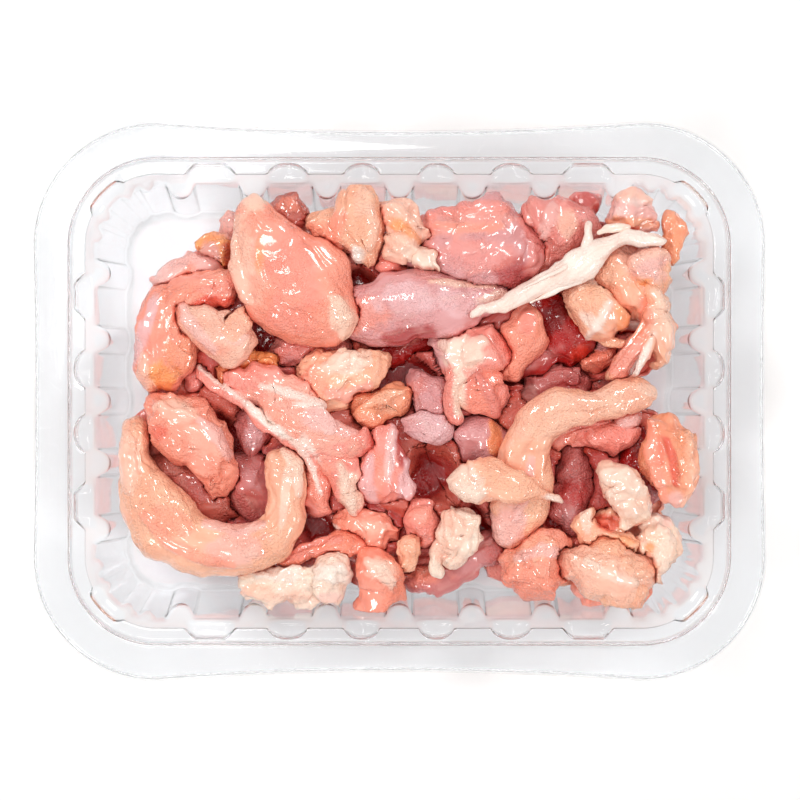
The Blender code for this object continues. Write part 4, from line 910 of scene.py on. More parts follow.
def relief(rings, grain, size, seed, lumps, folds, bundles, knobs, creases, crease_depth):
    """How far each point moves out: lumps, fibre bundles and knobs, less the folds and creases."""
    scale = np.clip(size / 6.0, 0.25, 1.0)
    moved = lumps * scale * rough_noise(rings, 11.0 * scale + 2.0, seed, 2)
    moved = moved - folds * scale * valley(rings, 14.0 * scale + 2.0, 0.08, seed + 40)
    moved = moved - 0.6 * folds * scale * valley(rings, 8.0 * scale + 2.0, 0.08, seed + 50)
    stretched = grain * BUNDLE_SCALE + (0.0, 0.0, seed)
    swayed = stretched + 0.6 * noise(rings, 14.0, seed)[..., None]
    moved = moved + bundles * scale * rough_noise(swayed, 1.0, seed, 3)
    moved = moved + knobs * scale * (1 - 2 * np.abs(rough_noise(rings, 2.6, seed + 5, 2)))
    girth = grain[:, -1:, 1] + grain[:, 1:2, 1]
    chance = np.random.default_rng(seed)
    line = np.stack([grain[..., 0], np.zeros_like(grain[..., 0]), np.full_like(grain[..., 0], seed)], axis=-1)
    for _ in range(creases):
        middle = chance.uniform(0.05, 0.45) * girth
        away = (grain[..., 1] - middle - 0.09 * girth * noise(line, 16.0, seed)) / CREASE_HALF
        fade = smooth_step(0.5 + 1.2 * noise(line, 13.0, seed + 9))
        moved = moved - crease_depth * scale * np.exp(-away * away) * fade
    return moved


print("kinds of relief:", ", ".join(RELIEF))

# %% [markdown]
# ## How the pieces lie on each other
#
# The pieces are laid from the top of the heap down. As each is laid, the height of its underside is
# kept on a map of small cells. The next piece may not rise above that map, so it is pressed down
# wherever it runs on under another, which leaves the thin dark line where two pieces meet. A second
# limit keeps the meat inside the tray's ribbed wall.

# %% Pressing under what lies above, and inside the wall
CELL = 0.8
MAP_HALF = (100.0, 75.0)
MAP_CAP, EMPTY = 52.0, 99.0
ceiling = np.full((int(2 * MAP_HALF[0] / CELL), int(2 * MAP_HALF[1] / CELL)), EMPTY)


def cells_of(points):
    """The map's cell under each point."""
    x = np.clip(((points[..., 0] + MAP_HALF[0]) / CELL).astype(int), 0, ceiling.shape[0] - 1)
    y = np.clip(((points[..., 1] + MAP_HALF[1]) / CELL).astype(int), 0, ceiling.shape[1] - 1)
    return x, y


def map_height(points):
    """The map's height at each point, blended from the four cells round it and capped above the heap."""
    x = np.clip((points[..., 0] + MAP_HALF[0]) / CELL - 0.5, 0, ceiling.shape[0] - 2)
    y = np.clip((points[..., 1] + MAP_HALF[1]) / CELL - 0.5, 0, ceiling.shape[1] - 2)
    i, j = x.astype(int), y.astype(int)
    u, v = x - i, y - j
    low = np.minimum(ceiling, MAP_CAP)
    front = low[i, j] * (1 - u) + low[i + 1, j] * u
    return front * (1 - v) + (low[i, j + 1] * (1 - u) + low[i + 1, j + 1] * u) * v


def pressed(rings, rise, gap=0.05, thinnest=0.35):
    """Each point no higher than the map less the gap, and the underside lower by at least the thinnest."""
    limit = map_height(rings) - gap - thinnest * (1 - rise)
    lowered = rings.copy()
    lowered[..., 2] = np.minimum(rings[..., 2], limit)
    return lowered


def lay(rings, rise):
    """The map takes the lower of its own height and the underside's in each cell, and closes single holes."""
    under = rise < 0.25
    np.minimum.at(ceiling, cells_of(rings[under]), rings[under][:, 2])
    inner = ceiling[1:-1, 1:-1]
    across = np.maximum(ceiling[:-2, 1:-1], ceiling[2:, 1:-1])
    along = np.maximum(ceiling[1:-1, :-2], ceiling[1:-1, 2:])
    ceiling[1:-1, 1:-1] = np.minimum(inner, np.minimum(across, along))


def inside_wall(points, gap=0.9):
    """Points outside the ribbed wall, moved in along the line from the core rectangle."""
    side_x = np.abs(points[..., 0]) - CORE_X
    side_y = np.abs(points[..., 1]) - CORE_Y
    out_x, out_y = np.maximum(side_x, 0), np.maximum(side_y, 0)
    out = np.maximum(np.hypot(out_x, out_y), 1e-9)
    kind = np.where((out_x > 0) & (out_y > 0), 2, np.where(out_x > 0, 1, 0))
    place = np.where(kind == 0, np.abs(points[..., 0]), np.abs(points[..., 1]))
    rib = features(place, kind, np.degrees(np.arctan2(out_y, out_x)))[0]
    z = points[..., 2]
    foot = WALL_FOOT - RIB_AT_FOOT * RIB_REACH * rib
    shelf = WALL_TOP - RIB_SHOULDER - RIB_REACH * rib
    room = FLOOR_RADIUS + (foot - FLOOR_RADIUS) * np.clip((z - SHEET) / (WALL_FOOT_HEIGHT - SHEET), 0, 1)
    room = room + (shelf - foot) * np.clip((z - WALL_FOOT_HEIGHT) / (RIB_HEIGHT - WALL_FOOT_HEIGHT), 0, 1)
    room = room + (WALL_TOP - shelf) * np.clip((z - RIB_HEIGHT) / (WALL_TOP_HEIGHT - RIB_HEIGHT), 0, 1) - gap
    share = np.where(out > room, room / out, 1.0)
    kept = points.copy()
    kept[..., 0] = np.where(out_x > 0, np.sign(points[..., 0]) * (CORE_X + out_x * share), points[..., 0])
    kept[..., 1] = np.where(out_y > 0, np.sign(points[..., 1]) * (CORE_Y + out_y * share), points[..., 1])
    return kept


print("cells in the map:", ceiling.size)

# %% [markdown]
# ## Folds, skins and crumbs on the pieces
#
# Boned meat is ragged: loose skin, folds, strands of tendon and crumbs of fat cling to the muscles.
# They have spines of their own, each with a tone and then its stations, given as for the large ones.
# The narrow ones become raised folds of the surface that carries them. The wide ones, and the
# strands that stand off the long tendon, become lobes fused to their piece.

# %% The folds and small lobes of each piece
EXTRAS = {
    "fillet_large": (
        ("pale", [(-48.5, 56, 41, 1.5, 1.6), (-49.6, 48, 41.5, 3.2, 3), (-48.6, 40, 41.8, 4.4, 3.2),
            (-45.5, 33.5, 41.4, 3.4, 2.6), (-40.5, 29, 40.5, 1.6, 1.5)]),
        ("cream", [(-20.5, 32, 41.6, 1.2, 1.2), (-16.6, 26, 40.6, 2.6, 2), (-16.2, 20, 38.8, 1.6, 1.4)]),
    ),
    "lobe_pale": (
        ("peach", [(-46.6, 31, 39.5, 1.2, 1.2), (-49.3, 26, 41.2, 3.2, 1.8), (-52.8, 20.5, 42.6, 3.6, 2.2),
            (-56.5, 14.5, 40.4, 2.6, 2)]),
        ("blush", [(-68.6, 31, 38.6, 1, 1), (-66.6, 26, 41, 1.6, 1.3), (-62.4, 20.4, 42, 1.5, 1.2),
            (-58, 15.8, 41, 1, 1)]),
    ),
    "piece_web": (
        ("white", [(-43, 4.8, 41.4, 0.8, 0.8), (-36, 3, 42.4, 1.3, 1), (-30.5, 1.2, 42.4, 1, 0.9),
            (-24, -1.4, 41.4, 0.7, 0.8)]),
        ("blush", [(-31, -2.4, 42.6, 1.5, 1), (-24.5, -5.4, 43, 3.8, 1.4), (-18.5, -9.4, 42.2, 2.4, 1.2)]),
        ("white", [(-38, -8, 41.8, 0.8, 0.8), (-31.4, -14, 42, 1.2, 1), (-27.6, -21, 40.6, 0.9, 0.9),
            (-24.6, -29, 39.4, 0.7, 0.7)]),
        ("fat", [(-18.6, -20, 42, 0.9, 0.8), (-16, -29, 41.6, 1.6, 1.3), (-14.2, -37, 38.6, 0.8, 0.8)]),
        ("salmon", [(-43, -1, 40.6, 1.4, 1.2), (-37.5, -5.5, 42, 1.8, 1.4), (-32, -9.5, 43, 1.4, 1.2)]),
    ),
    "piece_peaked": (
        ("white", [(-13.2, 47.6, 41, 1.3, 1.3), (-13.6, 43, 38.6, 1.1, 1.2)]),
        ("pale", [(-9.6, 61, 43.4, 1, 1), (-7.4, 54.5, 42.4, 1.3, 1.2), (-9.2, 48.4, 41, 1, 1)]),
        ("clay", [(-18, 58, 40, 1.4, 1.2), (-20.6, 52, 40.4, 1.8, 1.5), (-19.5, 45.6, 38.4, 1.2, 1.2)]),
    ),
    "curl_fatty": (
        ("fat", [(2.6, 47.4, 43, 1.5, 1.4), (6.4, 44.6, 43.6, 2, 1.8), (10.2, 41.4, 43.8, 1.6, 1.4)]),
        ("pale", [(-7, 61, 40.6, 1, 1), (-1, 60.4, 42.4, 1.4, 1.2), (5, 56.4, 41.4, 1.2, 1)]),
        ("cream", [(-3.4, 51.4, 41.6, 1.2, 1.2), (2, 50.8, 43, 1.7, 1.4), (6, 47.4, 43, 1, 1)]),
        ("orange", [(-2, 55.2, 41.6, 1, 1), (2.6, 53, 41.6, 1.3, 1), (6, 50.6, 40.6, 0.9, 0.9)]),
    ),
    "slab_dark": (
        ("salmon", [(12, 55.4, 40.2, 0.9, 1), (22, 54.4, 41.8, 1.3, 1.1), (32, 55, 41.2, 1, 1)]),
        ("rose", [(38.4, 57.6, 38.8, 1.8, 1.5), (44.4, 50.6, 38.4, 3.2, 2.4), (42.6, 42, 37, 2.2, 2)]),
        ("pink", [(6.5, 59, 38, 1.4, 1.2), (14, 60.4, 39.4, 1.6, 1.4), (24, 60.8, 39.6, 1.6, 1.4),
            (33, 61, 39, 1.3, 1.2)]),
    ),
    "slab_glossy": (
        ("mauve", [(41, 60, 34, 4, 3.5), (48, 56, 35, 8, 5), (57, 54.5, 35, 7.5, 5), (65, 55, 34, 4, 4)]),
        ("blush", [(48.2, 61, 40.6, 1.2, 1.2), (46, 54.4, 41, 1.6, 1.3), (43.4, 47.6, 39.8, 1.2, 1.2)]),
        ("rose", [(55.6, 60.6, 38, 1.5, 1.4), (58.8, 57.4, 38.2, 2.6, 1.8), (62, 54.4, 37.4, 1.6, 1.4)]),
    ),
    "lump_round_pale": (
        ("pale", [(68.6, 64.4, 41, 1, 1), (74, 65.6, 42.2, 1.4, 1.2), (79.6, 63.8, 41, 1, 1)]),
    ),
    "bulge_right": (
        ("fat", [(57, 37.4, 42, 1.6, 1.6), (60, 42, 41, 2.4, 1.9), (65.4, 42.8, 39, 1.9, 1.7)]),
        ("white", [(66, 31, 41.6, 0.8, 0.9), (62.6, 24.4, 42.6, 1.1, 1), (58.4, 19, 38.6, 0.7, 0.8)]),
        ("orange", [(68.6, 37.6, 40, 1.8, 1.4), (71, 31, 40, 2.2, 1.7), (70, 24, 39, 1.6, 1.4)]),
    ),
    "piece_right_tendon": (
        ("peach", [(66, 47, 34, 4.5, 4), (72, 41, 35.5, 7, 5), (74.5, 33, 35.5, 6.5, 5.5),
            (73, 25, 34, 4, 5)]),
        ("cream", [(80, 34, 43.6, 1, 1), (84.6, 27, 43, 1.6, 1.4), (85, 18, 41.6, 1.2, 1.2)]),
        ("pale", [(72.6, 42.4, 41, 1.3, 1.3), (77, 46.6, 41.4, 2.1, 1.6), (82.4, 46.6, 39.6, 1.3, 1.3)]),
        ("clay", [(76.4, 32, 43.6, 1, 1), (78, 25.6, 43.6, 1.6, 1.3), (75.4, 20, 43.4, 1.2, 1.1)]),
    ),
    "tendon_band": (
        ("white", [(53, 42.4, 45.6, 0.8, 0.7), (46, 38.8, 44.6, 0.7, 0.6), (38, 35, 43.4, 0.45, 0.5)]),
        ("white", [(58, 38.4, 43.6, 0.7, 0.8), (50, 34.8, 42.6, 0.8, 0.7), (41, 31, 42, 0.4, 0.5)]),
        ("fat", [(62, 52.4, 45, 0.7, 0.7), (67, 54.2, 44, 1.5, 1), (73, 54.4, 42.4, 0.8, 0.8)]),
    ),
    "muscle_lens": (
        ("cream", [(10, 37.8, 41, 0.6, 0.6), (20, 37, 40.8, 0.9, 0.8), (30, 36.4, 39, 0.7, 0.7)]),
    ),
    "piece_translucent": (
        ("fat", [(14.6, 17.6, 42.4, 1.9, 1.4), (20, 16.4, 43.4, 3.2, 2), (25.6, 18.8, 42, 1.8, 1.4)]),
        ("lilac", [(7, 21, 38, 1.3, 1.2), (10.4, 22.6, 40, 1.6, 1.4), (16, 22, 41.6, 1.2, 1.1)]),
        ("rose", [(24, 9, 41, 1.2, 1.1), (28.4, 3, 41.6, 1.6, 1.3), (31, -4, 39, 1.2, 1.1)]),
    ),
    "piece_winged": (
        ("lilac", [(-9.2, -18, 39, 1.1, 1.1), (-10.6, -25.5, 39.4, 2, 1.4), (-8, -32, 38.4, 1.3, 1.2)]),
        ("lilac", [(3, -19, 39.4, 1.1, 1), (5, -26.5, 39.2, 1.7, 1.2), (2.6, -32.4, 38, 1.1, 1)]),
        ("blush", [(-2, -8.6, 40.4, 0.7, 0.7), (-3.2, -16, 41.8, 1, 0.9), (-4, -24.4, 41.6, 0.8, 0.8)]),
    ),
    "strip_crossing": (
        ("fat", [(13.6, -27, 42.6, 1.5, 1.5), (18, -28.4, 45, 2.8, 1.9), (24.4, -29.4, 45.8, 1.9, 1.5)]),
    ),
    "strip_s": (
        ("blush", [(41.4, -18, 44.4, 0.9, 1), (40.4, -28, 42.4, 1.3, 1), (37, -37, 40.6, 1, 1)]),
        ("cream", [(75.6, 4, 41, 1.2, 1.2), (82, 2.4, 39.4, 1.6, 1.4)]),
    ),
    "fillet_hooked": (
        ("pale", [(-86, -7, 38.4, 0.9, 1), (-86.6, -17, 41, 1.3, 1.2), (-85, -28, 43.6, 1.2, 1)]),
        ("blush", [(-61, -38.6, 44, 1, 1), (-51, -41, 44.4, 1.4, 1.2), (-42.6, -38.6, 44.4, 1, 1)]),
        ("fat", [(-36.4, -15.6, 42.6, 0.9, 1), (-32.4, -20, 44, 1.4, 1.2), (-31.8, -29, 43.6, 1, 1)]),
        ("salmon", [(-80, -36, 44, 1.2, 1.1), (-73, -43.6, 44.4, 1.6, 1.3), (-62, -49.4, 43.2, 1.4, 1.2),
            (-52, -51.6, 42, 1, 1)]),
    ),
    "lump_left": (
        ("pale", [(-77, -2.4, 41.6, 0.9, 1), (-70.6, -0.6, 43, 1.6, 1.3), (-64.4, -4, 43.6, 1.2, 1.1)]),
        ("blush", [(-62, -6, 43.8, 1, 1), (-57, -10.6, 43.2, 2, 1.6), (-53.4, -17, 40.6, 1.4, 1.2)]),
        ("salmon", [(-73, -13, 42.4, 1.5, 1.3), (-65.4, -19.4, 42, 2, 1.6), (-61, -27, 38.6, 1.3, 1.2)]),
    ),
    "lump_fat_centre": (
        ("fat", [(-22.4, 10.6, 41, 1.7, 1.5), (-17, 13.2, 42.2, 3, 2), (-11, 13.4, 41.6, 2, 1.6)]),
        ("salmon", [(-27, 10, 39.6, 1.5, 1.3), (-31.4, 5, 37.4, 1.3, 1.2)]),
        ("pink", [(-22, 2.6, 40, 1.2, 1.2), (-15.6, 1.8, 41, 1.6, 1.4), (-10, 5, 40.6, 1.2, 1.1)]),
    ),
    "lump_ochre": (
        ("peach", [(-10.6, -1, 39.4, 1.1, 1.1), (-5, 2, 40.2, 1.4, 1.2), (1, 3, 39.4, 1, 1)]),
    ),
    "piece_folded_right": (
        ("salmon", [(79, -7, 41, 1, 1), (79, -16, 43.4, 1.8, 1.4), (81, -25, 43.6, 1.6, 1.3),
            (83.4, -32, 41.8, 1, 1)]),
        ("peach", [(91, -10, 40.4, 0.9, 1), (93.4, -18, 41.6, 1.8, 1.5), (93, -26, 41.4, 1.4, 1.2),
            (89.6, -33, 40.6, 1, 1)]),
        ("red", [(84, -12, 43, 0.9, 0.9), (86, -19, 43.8, 1.2, 1), (87, -26, 43.6, 0.9, 0.9)]),
    ),
    "fat_blob_right": (
        ("fat", [(65.4, -23.6, 43.8, 1.6, 1.5), (70.4, -23.8, 45, 2.2, 1.8), (75, -27.6, 43.8, 1.7, 1.5)]),
        ("fat", [(67.4, -31, 44.6, 1.7, 1.5), (72.6, -34.6, 44.4, 2, 1.6)]),
    ),
    "fat_lumps": (
        ("white", [(-44.4, -53.8, 37, 1.7, 1.5), (-38.6, -54, 38.6, 2.2, 1.8),
            (-33, -54.6, 39.6, 1.7, 1.6)]),
        ("white", [(-25.6, -53.4, 42, 1.9, 1.6), (-20.4, -54, 42.6, 2.4, 1.8),
            (-15.6, -55.4, 41, 1.7, 1.6)]),
        ("pale", [(-47.6, -60, 34, 1.5, 1.5), (-41.4, -60.8, 35.4, 1.9, 1.6)]),
    ),
    "fat_mass_low": (
        ("pale", [(15.6, -36.6, 42, 1.7, 1.5), (20.6, -41, 42.6, 2, 1.6), (16.6, -45.4, 42.4, 1.7, 1.6)]),
    ),
    "lump_bottom_pale": (
        ("pale", [(50, -50, 34, 5, 5), (60, -53.6, 36, 9, 7.5), (71, -54.5, 35.4, 8.6, 7),
            (80, -50, 33, 4, 5)]),
        ("fat", [(58.6, -50, 41, 0.9, 0.9), (66, -54.6, 43, 1.2, 1.1), (74, -57, 41.6, 1, 1)]),
        ("peach", [(71.6, -50.6, 41, 1.4, 1.2), (78, -53.4, 39, 2, 1.6)]),
    ),
    "lump_bottom": (
        ("salmon", [(31, -50, 32, 5, 4), (40, -51, 35, 9, 7), (52, -52, 34, 8, 6)]),
        ("blush", [(37, -49.4, 40.4, 1.1, 1.1), (45.4, -46.6, 42.2, 1.6, 1.3), (53, -48.6, 41, 1.1, 1.1)]),
        ("salmon", [(30.6, -51, 34.6, 2.2, 1.9), (33, -57, 35.6, 2.5, 2)]),
    ),
    "skin_right": (
        ("fat", [(81, -37, 37.4, 1.1, 1.1), (85, -43, 37.6, 1.8, 1.4), (82.4, -51, 37.4, 1.4, 1.2)]),
    ),
    "strip_arched": (
        ("salmon", [(-56, 39.4, 39, 1, 1), (-64, 37.4, 39.8, 1.4, 1.2), (-71, 32, 39.6, 1.6, 1.3),
            (-75.6, 25, 38.6, 1.2, 1.1)]),
        ("pale", [(-80, 14, 37.4, 1.1, 1.1), (-80.6, 7.6, 36.6, 1.6, 1.4), (-77.6, 2.6, 35, 1.3, 1.2)]),
    ),
    "piece_fibrous": (
        ("fat", [(-9.6, -50.6, 40.4, 1.2, 1.1), (-5.6, -53, 41.2, 1.8, 1.5), (-2.6, -57, 40, 1.2, 1.2)]),
        ("pink", [(-38, -47.6, 35.6, 0.9, 0.9), (-28, -44.4, 38.4, 1.2, 1), (-19, -43.6, 38.4, 0.9, 0.9)]),
    ),
}

print("folds and small lobes:", sum(len(lobes) for lobes in EXTRAS.values()))

# %% [markdown]
# ## The colour of each piece
#
# Chicken leg meat goes from nearly white fat over peach and salmon to wine red, often within one
# piece. Each piece has a finish and a ground tone, then patches: ellipses on the plan, given by
# their middle, half length, half width, turn in degrees, tone and strength. Their edges are frayed
# by noise, as a fat cap or a membrane is. Where the surface turns under, or lies close under another
# piece, painted shade makes it darker and redder.

# %% Tones
TONES = {
    "white": (255, 240, 229), "fat": (254, 224, 205), "cream": (252, 212, 189), "pale": (251, 199, 176),
    "peach": (252, 188, 156), "salmon": (250, 159, 135), "pink": (242, 152, 138), "rose": (226, 140, 130),
    "blush": (241, 192, 184), "lilac": (233, 192, 194), "mauve": (216, 156, 156), "dusk": (196, 112, 108),
    # shaded_dark_red is dark red meat with painted shade, for the bottoms of the deep gaps and hollows.
    "brown": (192, 104, 90), "red": (222, 66, 44), "wine": (168, 26, 24), "shaded_dark_red": (112, 2, 6),
    "orange": (255, 162, 100), "ochre": (240, 160, 122), "clay": (243, 148, 122),
}
WARMTH = (1.08, 1.0, 1.0)


def linear(colour):
    """Screen numbers from 0 to 255 as amounts of light, by the usual 2.4 power curve."""
    share = np.asarray(colour, float) / 255.0
    return np.where(share <= 0.04045, share / 12.92, ((share + 0.055) / 1.055) ** 2.4)


LIGHT = {name: np.minimum(linear(colour) * WARMTH, 1) for name, colour in TONES.items()}
print("tones:", len(LIGHT))

